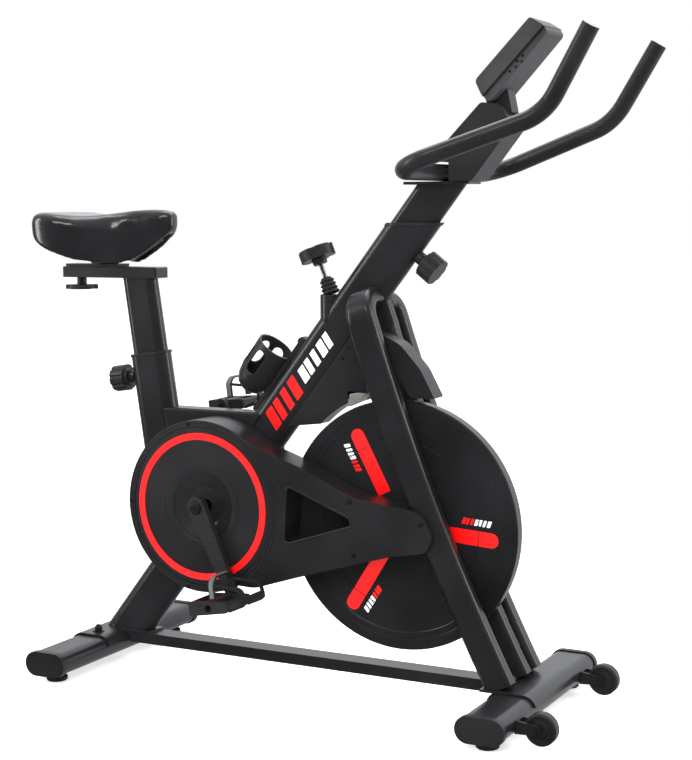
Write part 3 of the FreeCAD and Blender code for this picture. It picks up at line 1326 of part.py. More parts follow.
def console_support():
    """The moulded post behind the cross bar that carries the console."""
    outline = rounded_outline([(258, size("stem_top") + 5, 0), (299, size("stem_top") + 5, 6),
                               (368, 972, 8), (347, 1006, 14), (314, 1010, 10), (222, 917, 2),
                               (257.5, 916.5, 0)])
    body = padded("SupportBody", [outline], 66, Placement(), both=True)
    seat = box("SupportSeat", 40, 30, 40, Vector(322, -15, 985), Rotation(Y_AXIS, -12))
    trims = [console_block("SupportTrim", 0.3)]
    return keep(cut("console_support", fuse("SupportBlank", [body, seat]), trims), "console_support")


def console_half_case(name, corners, half_width, grow):
    """One half of the console's case, across the machine."""
    foot, slope = console_place()
    middle_x = sum(x for x, z, radius in corners) / 4
    middle_z = sum(z for x, z, radius in corners) / 4
    outline = rounded_outline([(x + math.copysign(grow, x - middle_x),
                                z + math.copysign(grow, z - middle_z), radius + grow)
                               for x, z, radius in corners])
    place = Placement(foot, Rotation(Y_AXIS, -slope))
    return padded(name, [outline], 2 * (half_width + grow), place, both=True)


def console_block(name, grow):
    """The console's case, grown by a gap when it is used to trim its support."""
    half = size("console_half")
    face = [(0, 0, 9), (133, 0, 5), (140, -29, 4), (-10, -29, 4)]
    back = [(-7, -24, 4), (136, -24, 4), (140, -38, 8), (-12, -42.5, 8)]
    return fuse(name, [console_half_case(name + "Face", face, half, grow),
                       console_half_case(name + "Back", back, half - 3, grow)])


def console():
    """A battery monitor: one closed case with a recess for its button."""
    foot, slope = console_place()
    place = Placement(foot, Rotation(Y_AXIS, -slope))
    recess = cylinder("ButtonRecess", 9.3, 6, place.multiply(Placement(Vector(26, 0, -4), Rotation())))
    return keep(cut("console", console_block("ConsoleCase", 0), [recess]), "console")


def console_button():
    foot, slope = console_place()
    place = Placement(foot, Rotation(Y_AXIS, -slope))
    profile = [(0, 0), (9, 0), (9, 3.6), (8, 4.4), (0, 4.8)]
    pressed = place.multiply(Placement(Vector(26, 0, -2.2), Rotation()))
    return keep(turned("console_button", profile, pressed), "console_button")


# ---------------------------------------------------------------- assembly

stabiliser("front_stabiliser", size("front_bar"))
stabiliser("rear_stabiliser", size("rear_bar"))
end_caps()
feet()
transport_wheels()
main_tube()
seat_tube()
top_tube()
bb_shell()
lower_tube()
fork_leg("fork_leg_near", size("leg_near"), size("leg_near_bend"), 1)
fork_leg("fork_leg_middle", size("leg_middle"), 0, 0)
fork_leg("fork_leg_far", size("leg_far"), size("leg_far_bend"), -1)
welded_brackets()
tube_collars()
bb_bearings()
crank_spindle()
pulley("drive_pulley", CRANK, size("drive_pulley"), size("spindle_radius"), 20)
pulley("flywheel_pulley", WHEEL, size("flywheel_pulley"), size("axle_radius") + 0.3, 14, 3)
crank("crank_near", size("crank_angle"), -1)
crank("crank_far", size("crank_angle") + 180, 1)
crank_hardware()
for label, angle, outward in (("near", size("crank_angle"), -1), ("far", size("crank_angle") + 180, 1)):
    pedal("pedal_" + label, angle, outward)
    pedal_cage("pedal_%s_cage" % label, angle, outward)
flywheel()
flywheel_bearings()
flywheel_axle()
drive_belt()
belt_cover()
belt_cover_back()
cover_disc()
cover_ring()
cover_screws()
tube_guard()
flywheel_hood()
bottle_cage()
frame_bolts()
brake_parts()
pull_pin("stem_pin_knob", stem_pin_point(), MAIN_FRONT, size("stem_depth") / 2 + 0.5)
pull_pin("seat_pin_knob", seat_pin_point(), SEAT_FRONT * -1, size("stem_depth") / 2 + 0.5)
seat_post()
seat_head()
saddle_carriage()
saddle()
saddle_knob()
stem()
handlebar()
console_support()
console()
console_button()
doc.recompute()

for item in doc.Objects:
    if "Invalid" in item.State or "Error" in item.State:
        raise RuntimeError("%s failed to build: %s" % (item.Label, item.State))
os.makedirs("parts", exist_ok=True)
for item in parts:
    if item.Shape.isNull() or not item.Shape.isValid():
        raise RuntimeError("%s has no valid shape" % item.Label)
    item.Shape.exportStep("parts/%s.step" % item.Label)
print(len(parts), "sub-parts written")
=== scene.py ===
import math
import bpy
import bmesh
from mathutils import Matrix, Vector


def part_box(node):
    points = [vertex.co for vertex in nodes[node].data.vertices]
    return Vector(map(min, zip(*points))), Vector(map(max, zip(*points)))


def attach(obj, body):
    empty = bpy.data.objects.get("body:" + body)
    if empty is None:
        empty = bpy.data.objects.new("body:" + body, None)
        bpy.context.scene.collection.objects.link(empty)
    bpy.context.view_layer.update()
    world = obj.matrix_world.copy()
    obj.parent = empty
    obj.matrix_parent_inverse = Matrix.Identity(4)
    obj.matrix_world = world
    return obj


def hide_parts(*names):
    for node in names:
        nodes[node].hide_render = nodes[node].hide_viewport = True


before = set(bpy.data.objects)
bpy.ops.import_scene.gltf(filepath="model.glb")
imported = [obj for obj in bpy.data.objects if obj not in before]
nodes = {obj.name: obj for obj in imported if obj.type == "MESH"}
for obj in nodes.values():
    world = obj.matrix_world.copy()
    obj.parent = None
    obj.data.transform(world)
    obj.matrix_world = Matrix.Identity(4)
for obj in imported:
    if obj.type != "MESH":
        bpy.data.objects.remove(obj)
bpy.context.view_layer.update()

# ---------------------------------------------------------------- studio
# A white floor under a broad overhead softbox, with strips at the sides and one high on the
# near side that draw highlights along the edges, and a soft fill that shows in no gloss.


def softbox(name, place, aim, wide, tall, power, mirrored=True):
    """A rectangular light at place, facing aim; mirrored=False keeps it out of the gloss."""
    lamp = bpy.data.lights.new(name, "AREA")
    lamp.shape = "RECTANGLE"
    lamp.size = wide
    lamp.size_y = tall
    lamp.energy = power
    stand = bpy.data.objects.new(name, lamp)
    bpy.context.scene.collection.objects.link(stand)
    stand.location = place
    stand.rotation_euler = (Vector(aim) - Vector(place)).to_track_quat("-Z", "Y").to_euler()
    stand.visible_camera = False
    stand.visible_glossy = mirrored


def studio_air():
    """White to the eye; its light comes from above and behind, and the near side is in shade."""
    world = bpy.data.worlds.new("studio")
    bpy.context.scene.world = world
    world.use_nodes = True
    tree = world.node_tree
    tree.nodes.clear()
    place = tree.nodes.new("ShaderNodeTexCoord")
    lit_side = tree.nodes.new("ShaderNodeVectorMath")
    lit_side.operation = "DOT_PRODUCT"
    lit_side.inputs[1].default_value = (0.1, 0.78, 0.62)
    fade = tree.nodes.new("ShaderNodeMapRange")
    fade.inputs["From Min"].default_value = -0.3
    fade.inputs["From Max"].default_value = 0.95
    fade.inputs["To Min"].default_value = 0.05
    fade.inputs["To Max"].default_value = 1.3
    room = tree.nodes.new("ShaderNodeBackground")
    room.inputs["Color"].default_value = (0.95, 0.97, 1.0, 1)
    backdrop = tree.nodes.new("ShaderNodeBackground")
    backdrop.inputs["Color"].default_value = (1, 1, 1, 1)
    backdrop.inputs["Strength"].default_value = 1.0
    ray = tree.nodes.new("ShaderNodeLightPath")
    choose = tree.nodes.new("ShaderNodeMixShader")
    out = tree.nodes.new("ShaderNodeOutputWorld")
    tree.links.new(place.outputs["Generated"], lit_side.inputs[0])
    tree.links.new(lit_side.outputs["Value"], fade.inputs["Value"])
    tree.links.new(fade.outputs[0], room.inputs["Strength"])
    tree.links.new(ray.outputs["Is Camera Ray"], choose.inputs[0])
    tree.links.new(room.outputs[0], choose.inputs[1])
    tree.links.new(backdrop.outputs[0], choose.inputs[2])
    tree.links.new(choose.outputs[0], out.inputs["Surface"])


def showroom_floor():
    """A wide matt white floor, lit from beneath so that it meets the backdrop without a line."""
    mesh = bpy.data.meshes.new("showroom_floor")
    reach = 14.0
    under = -0.0006
    mesh.from_pydata([(-reach, -reach, under), (reach, -reach, under), (reach, reach, under),
                      (-reach, reach, under)], [], [(0, 1, 2, 3)])
    floor = bpy.data.objects.new("showroom_floor", mesh)
    bpy.context.scene.collection.objects.link(floor)
    paint = bpy.data.materials.new("floor_paint")
    paint.use_nodes = True
    shader = paint.node_tree.nodes["Principled BSDF"]
    shader.inputs["Roughness"].default_value = 0.7
    mottle = paint.node_tree.nodes.new("ShaderNodeTexNoise")
    mottle.inputs["Scale"].default_value = 2.0
    tint = paint.node_tree.nodes.new("ShaderNodeValToRGB")
    tint.color_ramp.elements[0].color = (0.9, 0.9, 0.9, 1)
    tint.color_ramp.elements[1].color = (0.94, 0.94, 0.94, 1)
    paint.node_tree.links.new(mottle.outputs["Fac"], tint.inputs[0])
    paint.node_tree.links.new(tint.outputs[0], shader.inputs["Base Color"])
    paint.node_tree.links.new(tint.outputs[0], shader.inputs["Emission Color"])
    shader.inputs["Emission Strength"].default_value = 0.62
    mesh.materials.append(paint)
    floor.visible_glossy = False


def eye():
    """A long lens at saddle height, three metres off the near front corner."""
    lens = bpy.data.cameras.new("eye")
    lens.lens = 77.08
    lens.sensor_width = 36
    lens.clip_start = 0.05
    lens.clip_end = 60
    camera = bpy.data.objects.new("eye", lens)
    bpy.context.scene.collection.objects.link(camera)
    heading, dip, roll = math.radians(27.52), math.radians(6.01), math.radians(-0.34)
    tripod = Matrix.Translation((1.3424, -2.48015, 0.84093))
    turn = Matrix.Rotation(heading, 4, "Z") @ Matrix.Rotation(math.pi / 2 - dip, 4, "X")
    camera.matrix_world = tripod @ turn @ Matrix.Rotation(roll, 4, "Z")
    bpy.context.scene.camera = camera


studio_air()
showroom_floor()
eye()
softbox("overhead", (0.1, 0.9, 2.9), (0.0, 0.0, 0.4), 3.0, 2.0, 60)
softbox("left_strip", (-2.4, -1.5, 1.3), (0.0, 0.0, 0.6), 0.5, 2.2, 30)
softbox("near_edge", (-0.5, -3.0, 3.2), (-0.1, 0.0, 0.6), 1.8, 0.35, 26)
softbox("right_strip", (2.6, 0.9, 1.3), (0.1, 0.0, 0.5), 0.6, 2.2, 30)
softbox("front_fill", (1.2, -3.4, 2.2), (0.0, 0.0, 0.5), 2.4, 1.8, 150, mirrored=False)
bpy.context.scene.view_settings.view_transform = "Standard"

# ---------------------------------------------------------------- welded frame
# Flat-oval and round steel tube, mitred and welded, then powder coated in satin black.
# The two bars across the floor are the same tube, bolted up through curved saddle plates.


def link(tree, out, into):
    """Joins one node's socket to the next."""
    tree.links.new(out, into)


def finish(name, colour, rough, grain, depth, edge=0.0007, metal=0.0, coat=0.0, cloud=7.0,
           shade=0.35, sheen=0.0):
    """A finish: clouded base colour, grain this wide and this deep, edges worn this soft."""
    stuff = bpy.data.materials.new(name)
    stuff.use_nodes = True
    tree = stuff.node_tree
    shader = tree.nodes["Principled BSDF"]
    shader.inputs["Metallic"].default_value = metal
    shader.inputs["Coat Weight"].default_value = coat
    shader.inputs["Coat Roughness"].default_value = 0.12
    shader.inputs["Specular IOR Level"].default_value = 0.4
    shader.inputs["Sheen Weight"].default_value = sheen
    place = tree.nodes.new("ShaderNodeTexCoord")
    cloudy = tree.nodes.new("ShaderNodeTexNoise")
    cloudy.inputs["Scale"].default_value = cloud
    cloudy.inputs["Detail"].default_value = 6
    ramp = tree.nodes.new("ShaderNodeValToRGB")
    ramp.color_ramp.elements[0].position = 0.3
    ramp.color_ramp.elements[1].position = 0.72
    ramp.color_ramp.elements[0].color = tuple(c * (1 - shade) for c in colour) + (1,)
    ramp.color_ramp.elements[1].color = tuple(min(1, c * (1 + shade)) for c in colour) + (1,)
    gloss = tree.nodes.new("ShaderNodeMapRange")
    gloss.inputs["To Min"].default_value = max(0.03, rough * 0.86)
    gloss.inputs["To Max"].default_value = min(1.0, rough * 1.16)
    pebble = tree.nodes.new("ShaderNodeTexNoise")
    pebble.inputs["Scale"].default_value = 1 / grain
    pebble.inputs["Detail"].default_value = 2
    bump = tree.nodes.new("ShaderNodeBump")
    bump.inputs["Strength"].default_value = 1.0
    bump.inputs["Distance"].default_value = depth
    corner = tree.nodes.new("ShaderNodeBevel")
    corner.samples = 4
    corner.inputs["Radius"].default_value = edge
    for part in (cloudy, pebble):
        link(tree, place.outputs["Object"], part.inputs["Vector"])
    link(tree, cloudy.outputs["Fac"], ramp.inputs[0])
    link(tree, ramp.outputs[0], shader.inputs["Base Color"])
    link(tree, cloudy.outputs["Fac"], gloss.inputs["Value"])
    link(tree, gloss.outputs[0], shader.inputs["Roughness"])
    link(tree, pebble.outputs["Fac"], bump.inputs["Height"])
    link(tree, corner.outputs[0], bump.inputs["Normal"])
    link(tree, bump.outputs[0], shader.inputs["Normal"])
    return stuff


def dress(material, *names):
    """Gives a carried-over part its finish."""
    for name in names:
        for place in nodes[name].material_slots:
            place.material = material


powder_coat = finish("powder_coat", (0.011, 0.011, 0.012), 0.3, 0.0011, 0.00004, edge=0.0012,
                     coat=0.1)
dress(powder_coat, "main_tube", "seat_tube", "top_tube", "bb_shell", "lower_tube",
      "fork_leg_near", "fork_leg_middle", "fork_leg_far", "welded_brackets", "front_stabiliser",
      "rear_stabiliser")
moulding = finish("moulding", (0.012, 0.012, 0.013), 0.42, 0.0006, 0.00004)
dress(moulding, "tube_collars", "stabiliser_end_caps", "wheel_near", "wheel_far")
rubber = finish("rubber", (0.011, 0.011, 0.011), 0.66, 0.0005, 0.0001, edge=0.0005)
dress(rubber, "foot_front_near", "foot_front_far", "foot_rear_near", "foot_rear_far",
      "brake_bellows", "drive_belt")
black_bolt = finish("black_bolt", (0.02, 0.02, 0.021), 0.3, 0.0009, 0.00003, edge=0.0004,
                    metal=0.6)
dress(black_bolt, "frame_bolts")

# ---------------------------------------------------------------- flywheel
# A grey-iron casting, turned on its rim and faces and sprayed semi-gloss black. It spins on
# two sealed bearings; three painted bars and a few small marks are printed on the near face.


def shown(name, mesh, material, body, crisp=35):
    """Puts a finished mesh into the assembly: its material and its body."""
    mesh.materials.append(material)
    for face in mesh.polygons:
        face.use_smooth = True
    mesh.set_sharp_from_angle(angle=math.radians(crisp))
    piece = bpy.data.objects.new(name, mesh)
    bpy.context.scene.collection.objects.link(piece)
    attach(piece, body)
    return piece


def closed_mesh(name, build):
    """A mesh made by build, with its faces turned outwards."""
    build_mesh = bmesh.new()
    build(build_mesh)
    bmesh.ops.recalc_face_normals(build_mesh, faces=build_mesh.faces)
    mesh = bpy.data.meshes.new(name)
    build_mesh.to_mesh(mesh)
    build_mesh.free()
    return mesh


def softened(corners, radii, steps=6):
    """The corners of a flat outline rounded off, as (x, z) points."""
    points = []
    count = len(corners)
    for index, corner in enumerate(corners):
        here = Vector(corner)
        before = (Vector(corners[index - 1]) - here).normalized()
        after = (Vector(corners[(index + 1) % count]) - here).normalized()
        radius = radii[index] if hasattr(radii, "__len__") else radii
        half = before.angle(after) / 2
        if radius <= 0 or half > 1.56:
            points.append(tuple(here))
            continue
        reach = radius / math.tan(half)
        centre = here + (before + after).normalized() * (radius / math.sin(half))
        start, end = here + before * reach - centre, here + after * reach - centre
        sweep = start.angle_signed(end)
        for step in range(steps + 1):
            share = step / steps
            turn = Matrix.Rotation(-sweep * share, 2)
            points.append(tuple(centre + turn @ start))
    return points


def slab(name, outline, origin, along, across, thick, material, body):
    """A flat outline laid on a plane and raised by thick towards along x across."""
    first, second = Vector(along).normalized(), Vector(across).normalized()
    lift = first.cross(second) * thick

    def build(mesh):
        base = [mesh.verts.new(Vector(origin) + first * u + second * v) for u, v in outline]
        top = [mesh.verts.new(vert.co + lift) for vert in base]
        mesh.faces.new(base)
        mesh.faces.new(top[::-1])
        for index in range(len(base)):
            after = (index + 1) % len(base)
            mesh.faces.new((base[index], base[after], top[after], top[index]))

    return shown(name, closed_mesh(name, build), material, body, crisp=30)


def turned(name, profile, centre, axis, material, body, steps=72, whole=True):
    """A round piece spun from its (radius, height) profile; whole closes the profile on itself."""
    up = Vector(axis).normalized()
    side = up.orthogonal().normalized()
    across = up.cross(side)

    def build(mesh):
        rings = []
        for radius, height in profile:
            foot = Vector(centre) + up * height
            if radius < 1e-7:
                rings.append([mesh.verts.new(foot)])
                continue
            ring = []
            for step in range(steps):
                turn = 2 * math.pi * step / steps
                spoke = side * math.cos(turn) + across * math.sin(turn)
                ring.append(mesh.verts.new(foot + spoke * radius))
            rings.append(ring)
        pairs = list(zip(rings, rings[1:]))
        if whole:
            pairs.append((rings[-1], rings[0]))
        for low_ring, high_ring in pairs:
            for step in range(steps):
                after = (step + 1) % steps
                corners = [low_ring[step % len(low_ring)], low_ring[after % len(low_ring)],
                           high_ring[after % len(high_ring)], high_ring[step % len(high_ring)]]
                unique = list(dict.fromkeys(corners))
                if len(unique) > 2:
                    mesh.faces.new(unique)

    return shown(name, closed_mesh(name, build), material, body)


def half_round(radius, wide, high, steps=6):
    """Profile of a raised bead, wide across and high, centred on a radius."""
    points = []
    for step in range(steps + 1):
        turn = math.pi * step / steps
        points.append((radius + math.cos(turn) * wide / 2, math.sin(turn) * high))
    return points


def swept(name, path, section, face_up, material, body, looped=False):
    """A section of (sideways, up) points carried along a path, its top turned to face_up."""
    points = [Vector(point) for point in path]
    count = len(points)

    def build(mesh):
        rings = []
        for index, point in enumerate(points):
            before = points[index - 1] if index or looped else point
            after = points[(index + 1) % count] if index < count - 1 or looped else point
            heading = (after - before).normalized()
            up = Vector(face_up(point) if callable(face_up) else face_up)
            side = heading.cross(up).normalized()
            up = side.cross(heading)
            rings.append([mesh.verts.new(point + side * u + up * v) for u, v in section])
        pairs = list(zip(rings, rings[1:]))
        if looped:
            pairs.append((rings[-1], rings[0]))
        for low_ring, high_ring in pairs:
            for step in range(len(section)):
                after = (step + 1) % len(section)
                mesh.faces.new((low_ring[step], low_ring[after], high_ring[after], high_ring[step]))
        if not looped:
            mesh.faces.new(rings[0])
            mesh.faces.new(rings[-1][::-1])

    return shown(name, closed_mesh(name, build), material, body)


casting = finish("casting", (0.010, 0.010, 0.011), 0.3, 0.0016, 0.00012, edge=0.0014, coat=0.2)
dress(casting, "flywheel")
steel = finish("steel", (0.42, 0.42, 0.43), 0.26, 0.0004, 0.00002, edge=0.0004, metal=1.0)
print_red = finish("print_red", (0.92, 0.0, 0.0), 0.6, 0.0006, 0.00002, shade=0.04)
print_white = finish("print_white", (0.86, 0.86, 0.86), 0.4, 0.0006, 0.00002, shade=0.03)
WEB_SET_BACK = 0.0015
WEB_FACE = Vector((0.1682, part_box("flywheel")[0].y + WEB_SET_BACK, 0.3071))
TO_NEAR = (0, -1, 0)
PRINT = 0.0002


def slanted_marks(name, origin, along, across, tall, pitch, colours, body):
    """A plain row of slanted strokes of paint, every third one broad."""
    broad, narrow, corner = 0.8, 0.62, 0.0008
    lean = tall * 0.3
    for index, paint in enumerate(colours):
        start = index * pitch
        stroke = pitch * (narrow if index % 3 else broad)
        outline = [(start, 0), (start + stroke, 0), (start + stroke + lean, tall),
                   (start + lean, tall)]
        slab("%s_%d" % (name, index + 1), softened(outline, corner, 3), origin, along, across,
             PRINT, paint, body)


bar_start, bar_end, bar_half, square_end, round_end = 0.06, 0.18, 0.0125, 0.002, 0.0124
bar_outline = softened([(bar_start, -bar_half), (bar_end, -bar_half), (bar_end, bar_half),
                        (bar_start, bar_half)], [square_end, round_end, round_end, square_end], 10)
mark_out, mark_aside, mark_tall, mark_pitch = 0.112, 0.021, 0.011, 0.0075
for number, heading in enumerate((118, -122, -4), start=1):
    outward = Vector((math.cos(math.radians(heading)), 0, math.sin(math.radians(heading))))
    sideways = Vector((-outward.z, 0, outward.x))
    slab("wheel_bar_%d" % number, bar_outline, WEB_FACE, outward, sideways, PRINT, print_red,
         "flywheel_set")
    slanted_marks("wheel_mark_%d" % number, WEB_FACE + outward * mark_out + sideways * mark_aside,
                  outward, sideways, mark_tall, mark_pitch, [print_red] * 3 + [print_white] * 4,
                  "flywheel_set")
for radius in (0.186, 0.1445):
    turned("wheel_groove_%d" % round(radius * 1000), half_round(radius, 0.0016, 0.0006), WEB_FACE,
           TO_NEAR, casting, "flywheel_set", 120)
dress(steel, "flywheel_axle", "flywheel_bearings", "flywheel_pulley", "crank_spindle",
      "bb_bearings", "brake_rod")

# ---------------------------------------------------------------- main tube's near side
# Slanted strokes screen-printed in red and white along the flat of the tube, and the two
# screws that hold the moulded guard beneath it.

TUBE_UP = Vector((math.cos(math.radians(52)), 0, math.sin(math.radians(52))))
TUBE_BACK = Vector((-TUBE_UP.z, 0, TUBE_UP.x))
red_tall, red_pitch, white_tall, white_pitch = 0.036, 0.0235, 0.026, 0.0195
red_start = Vector((-0.0942, -0.0201, 0.463)) + TUBE_UP * 0.002 - TUBE_BACK * 0.019
white_start = red_start + TUBE_UP * 0.104 + TUBE_BACK * 0.006
slanted_marks("tube_mark_red", red_start, TUBE_UP, TUBE_BACK, red_tall, red_pitch,
              [print_red] * 4, "frame")
slanted_marks("tube_mark_white", white_start, TUBE_UP, TUBE_BACK, white_tall, white_pitch,
              [print_white] * 5, "frame")
guard_side = -0.0171
guard_screw = [(0, 0), (0.0032, 0), (0.0032, 0.0009), (0, 0.0014)]
for number, (x, z) in enumerate(((0.052, 0.585), (0.064, 0.605)), start=1):
    turned("guard_screw_%d" % number, guard_screw, (x, guard_side, z), TO_NEAR, black_bolt,
           "frame", 20, whole=False)

# ---------------------------------------------------------------- belt cover
# Two shells of black ABS screwed together round the belt, with a round cap over the drive
# pulley. The red trim ring snaps into a groove in the cap.

shell_plastic = finish("shell_plastic", (0.012, 0.012, 0.013), 0.32, 0.0005, 0.00003, edge=0.0012)
dress(shell_plastic, "belt_cover", "belt_cover_back", "cover_disc", "tube_guard", "flywheel_hood")
trim_red = finish("trim_red", (0.92, 0.0, 0.0), 0.6, 0.0005, 0.00002, shade=0.04)
dress(trim_red, "cover_ring")
black_screw = finish("black_screw", (0.01, 0.01, 0.01), 0.35, 0.0005, 0.00002, metal=0.4)
dress(black_screw, "cover_screws")

COVER_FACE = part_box("belt_cover")[0].y
crank_x, crank_z = -0.1905, 0.3205
for radius, wide in ((0.1515, 0.0022), (0.1455, 0.0016)):
    turned("cover_bead_%d" % round(radius * 1e4), half_round(radius, wide, 0.0009),
           (crank_x, COVER_FACE, crank_z), TO_NEAR, shell_plastic, "frame", 160)
for radius, sunk in ((0.076, 0.0003), (0.058, 0.0014)):
    turned("cap_step_%d" % round(radius * 1e3), half_round(radius, 0.0016, 0.0007),
           (crank_x, COVER_FACE + sunk, crank_z), TO_NEAR, shell_plastic, "frame",
           120)
window_corners = [(-0.018, 0.371), (0.103, 0.324), (0.107, 0.310), (-0.025, 0.267)]
window_path = [(x, COVER_FACE, z)
               for x, z in softened(window_corners, [0.007, 0.005, 0.005, 0.009], 8)]
lip_half, lip_high = 0.0022, 0.0013
lip_bead = [(math.cos(math.pi * step / 8) * lip_half, math.sin(math.pi * step / 8) * lip_high)
            for step in range(9)]
swept("window_lip", window_path, lip_bead, TO_NEAR, shell_plastic, "frame",
      looped=True)

# ---------------------------------------------------------------- cranks and pedals
# Forged arms pressed on the spindle, painted with a fine fleck. Each pedal is a moulded block
# with a toe cage screwed to its front and a webbing strap over the shoe.

fleck = finish("fleck", (0.016, 0.016, 0.016), 0.45, 0.0012, 0.0002, cloud=420, shade=0.7)
dress(fleck, "crank_near", "crank_far")
dress(black_bolt, "crank_hardware")
pedal_plastic = finish("pedal_plastic", (0.016, 0.016, 0.017), 0.5, 0.0007, 0.00008)
dress(pedal_plastic, "pedal_near", "pedal_far", "drive_pulley")
dress(moulding, "pedal_near_cage", "pedal_far_cage")
webbing = finish("webbing", (0.11, 0.11, 0.11), 0.7, 0.0004, 0.0001, cloud=300, shade=0.2)


def pedal_band(name, centre, middle_y, body):
    """A grey woven strap threaded over the moulded arch of a pedal."""
    lean = math.radians(7)
    ahead = 0.008
    half, foot, shoulder, flat, top = 0.0346, 0.016, 0.0412, 0.0225, 0.0524
    arch = softened([(-half, foot), (-half, shoulder), (-flat, top), (flat, top),
                     (half, shoulder), (half, foot)], [0, 0.012, 0.016, 0.016, 0.012, 0], 8)
    path = []
    for y, z in arch:
        path.append((centre[0] + ahead * math.cos(lean) - z * math.sin(lean), middle_y + y,
                     centre[1] + ahead * math.sin(lean) + z * math.cos(lean)))
    woven = [(-0.0036, -0.0003), (0.0036, -0.0003), (0.0036, 0.0006), (-0.0036, 0.0006)]
    hub = Vector((centre[0], middle_y, centre[1]))
    swept(name, path, woven, lambda point: Vector(point) - hub, webbing, body)


pedal_band("band_near", (-0.1173, 0.1671), -0.152, "pedal_near_set")
pedal_band("band_far", (-0.2637, 0.4739), 0.152, "pedal_far_set")

# ---------------------------------------------------------------- brake, knobs and bottle cage
# Turned and moulded fittings: the brake's star knob over its rubber bellows, the spring pins'
# lobed grips, and the bottle cage bolted up the back of the main tube.

dress(moulding, "brake_knob", "seat_pin_knob", "stem_pin_knob", "saddle_knob", "bottle_cage")
felt = finish("felt", (0.13, 0.12, 0.11), 0.95, 0.0009, 0.0005, sheen=0.4)
dress(felt, "brake_pad")

# ---------------------------------------------------------------- seat
# The post carries a slotted tube; the saddle's carriage slides on it. The saddle is a moulded
# pan under thick foam, with glossy vinyl drawn down over its sides. Sizes are in millimetres.

dress(powder_coat, "seat_post", "seat_head", "saddle_carriage")
vinyl = finish("vinyl", (0.010, 0.010, 0.011), 0.24, 0.0009, 0.00006, cloud=14, coat=0.5)


def half_width(x):
    """Half width of the cover at x millimetres: a narrow nose that flares to the rear."""
    flare = 1 / (1 + math.exp(-((-297 - x) / 260 - 0.52) * 11))
    return 22 + 74 * flare


def crown(x):
    """Height of the cover's top along its middle."""
    return 830 + 12 * (1 - math.exp(-((x + 465) / 70) ** 2))


def hem(x):
    """Height of the cover's lower edge."""
    if x > -400:
        return 742 + 59 * ((x + 400) / 110) ** 1.2
    return 742 + 45 * ((-400 - x) / 162) ** 2


def saddle_ring(x, inset):
    """The padding cut across at x: a deep crown over two hanging flanks."""
    half = half_width(x) - inset - 0.5
    top = crown(x) - inset * 0.5 - 2
    low = hem(x) - 1 + inset * 0.5
    inside = max(2.5, half - 15)
    roof = max(low + 3, top - 38) if x > -540 else low + 3
    corner = min(18, half * 0.8, (top - low) * 0.45)
    corners = [(-half + 2, low), (-inside, low + 1), (-inside + 1.2, roof), (inside - 1.2, roof),
               (inside, low + 1), (half - 2, low), (half, top), (-half, top)]
    rounded = softened(corners, [3, 3, 1, 1, 3, 3, corner, corner])
    return [Vector((x, y, z)) / 1000 for y, z in rounded]


def lofted(mesh, sections):
    """Rings of points joined one to the next and closed at both ends."""
    rings = [[mesh.verts.new(point) for point in section] for section in sections]
    for low_ring, high_ring in zip(rings, rings[1:]):
        for step in range(len(low_ring)):
            after = (step + 1) % len(low_ring)
            mesh.faces.new((low_ring[step], low_ring[after], high_ring[after], high_ring[step]))
    mesh.faces.new(rings[0])
    mesh.faces.new(rings[-1][::-1])


def pan_blank(mesh):
    """The moulded pan, tucked up between the flanks."""
    sections = []
    for x in (-535, -515, -480, -440, -400, -370, -345, -325):
        half = max(3.0, half_width(x) - 17)
        low = hem(x) + 6
        ring = softened([(-half, low), (half, low), (half, low + 5), (-half, low + 5)], 1.2, 3)
        sections.append([Vector((x, y, z)) / 1000 for y, z in ring])
    lofted(mesh, sections)


def saddle_blank(mesh):
    """The padding, nose to tail."""
    places = [-559, -555, -548, -532, -505, -470, -440, -410, -385, -360, -335, -312, -301, -295]
    insets = [16, 9, 4, 1, 0, 0, 0, 0, 0, 0, 0, 1.5, 5, 10]
    lofted(mesh, [saddle_ring(x, inset) for x, inset in zip(places, insets)])


def settled_mesh(piece):
    """The piece's mesh as its modifiers leave it."""
    graph = bpy.context.evaluated_depsgraph_get()
    return bpy.data.meshes.new_from_object(piece.evaluated_get(graph))


def puffed(piece, bead, most):
    """Vinyl blown up over foam: an even mesh of this bead, moved at most this far by the air."""
    remesh = piece.modifiers.new("weave", "REMESH")
    remesh.mode = "VOXEL"
    remesh.voxel_size = bead
    even = settled_mesh(piece)
    piece.modifiers.clear()
    piece.data = even
    pattern = [vert.co.copy() for vert in even.vertices]
    cloth = piece.modifiers.new("vinyl", "CLOTH")
    cloth.settings.quality = 5
    cloth.settings.mass = 0.35
    cloth.settings.tension_stiffness = 18
    cloth.settings.compression_stiffness = 18
    cloth.settings.shear_stiffness = 8
    cloth.settings.bending_stiffness = 3
    cloth.settings.use_pressure = True
    cloth.settings.uniform_pressure_force = 4
    cloth.settings.effector_weights.gravity = 0
    for moment in range(1, 21):
        bpy.context.scene.frame_set(moment)
    blown = settled_mesh(piece)
    piece.modifiers.clear()
    for vert, start, end in zip(even.vertices, pattern, blown.vertices):
        step = end.co - start
        if step.length > most:
            step *= most / step.length
        vert.co = start + step
    bpy.context.scene.frame_set(1)


cover = shown("saddle_cover", closed_mesh("saddle_cover", saddle_blank), vinyl, "saddle_set",
              80)
puffed(cover, bead=0.005, most=0.003)
for face in cover.data.polygons:
    face.use_smooth = True
smooth = cover.modifiers.new("relax", "CORRECTIVE_SMOOTH")
smooth.factor = 0.7
smooth.iterations = 3
smooth.use_only_smooth = True
finer = cover.modifiers.new("finer", "SUBSURF")
finer.levels = finer.render_levels = 1
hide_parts("saddle_cushion")
pan = shown("saddle_pan", closed_mesh("saddle_pan", pan_blank), moulding, "saddle_set",
            30)
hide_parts("saddle_base")

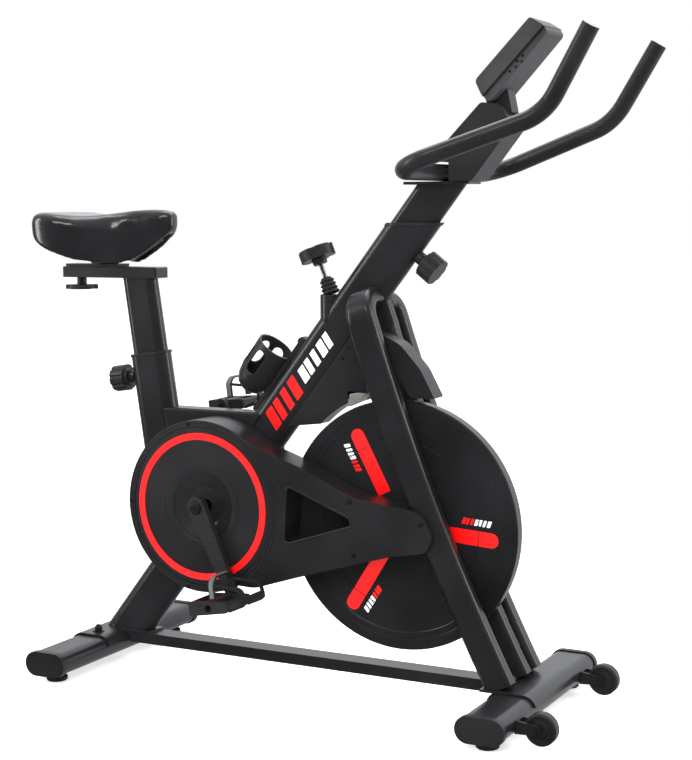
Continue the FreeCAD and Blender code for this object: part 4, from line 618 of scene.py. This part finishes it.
# ---------------------------------------------------------------- stem, bar and console
# The stem slides in the main tube and carries the bent bar, dipped in a soft black coat. A
# moulded post behind the cross tube holds the console at reading height.

dress(powder_coat, "stem")
dipped = finish("dipped", (0.011, 0.011, 0.012), 0.38, 0.0008, 0.0001, coat=0.1)
dress(dipped, "handlebar")
console_plastic = finish("console_plastic", (0.032, 0.032, 0.034), 0.45, 0.0006, 0.00008)
dress(moulding, "console_support")
dress(console_plastic, "console", "console_button")
smoked = finish("smoked", (0.006, 0.006, 0.007), 0.16, 0.0008, 0.00001, coat=0.3)
pale = finish("pale", (0.3, 0.3, 0.31), 0.5, 0.0006, 0.00004)

case_foot, case_side, case_inner_side = Vector((0.307, 0, 1.044)), -0.041, -0.0381
FACE_UP = Vector((0.6995, 0, 0.7146))
FACE_OUT = Vector((-FACE_UP.z, 0, FACE_UP.x))
display = softened([(0.052, -0.031), (0.121, -0.031), (0.121, 0.031), (0.052, 0.031)], 0.006)
slab("display_window", display, case_foot + FACE_OUT * 0.0001, FACE_UP, (0, -1, 0), 0.0006,
     smoked, "stem_set")
# A thin near-black strip along the case's side where its two halves meet: painted shade standing
# for the shadowed groove of the parting line.
seam = [(-0.009, -0.0295), (0.139, -0.0295), (0.138, -0.0265), (-0.008, -0.0265)]
slab("case_seam_shade", seam, (case_foot.x, case_side, case_foot.z), FACE_UP, FACE_OUT, 0.0004,
     black_screw, "stem_set")
case_screw = [(0, 0), (0.0022, 0), (0.0022, 0.0005), (0, 0.0007)]
screw_places = ((0.082, -0.033), (0.07, -0.032), (0.074, -0.038), (0.062, -0.037), (0.05, -0.034))
for number, (u, v) in enumerate(screw_places, start=1):
    spot = Vector((case_foot.x, case_inner_side, case_foot.z)) + FACE_UP * u + FACE_OUT * v
    turned("case_screw_%d" % number, case_screw, spot, TO_NEAR, black_screw, "stem_set",
           16, whole=False)
bar_cap = [(0, 0), (0.0133, 0), (0.0133, 0.0006), (0, 0.0012)]
for side_name, sign in (("near", -1), ("far", 1)):
    turned("bar_cap_" + side_name, bar_cap, (0.5455, sign * 0.169, 1.107),
           (0.503, sign * 0.054, 0.863), pale, "stem_set", 40, whole=False)
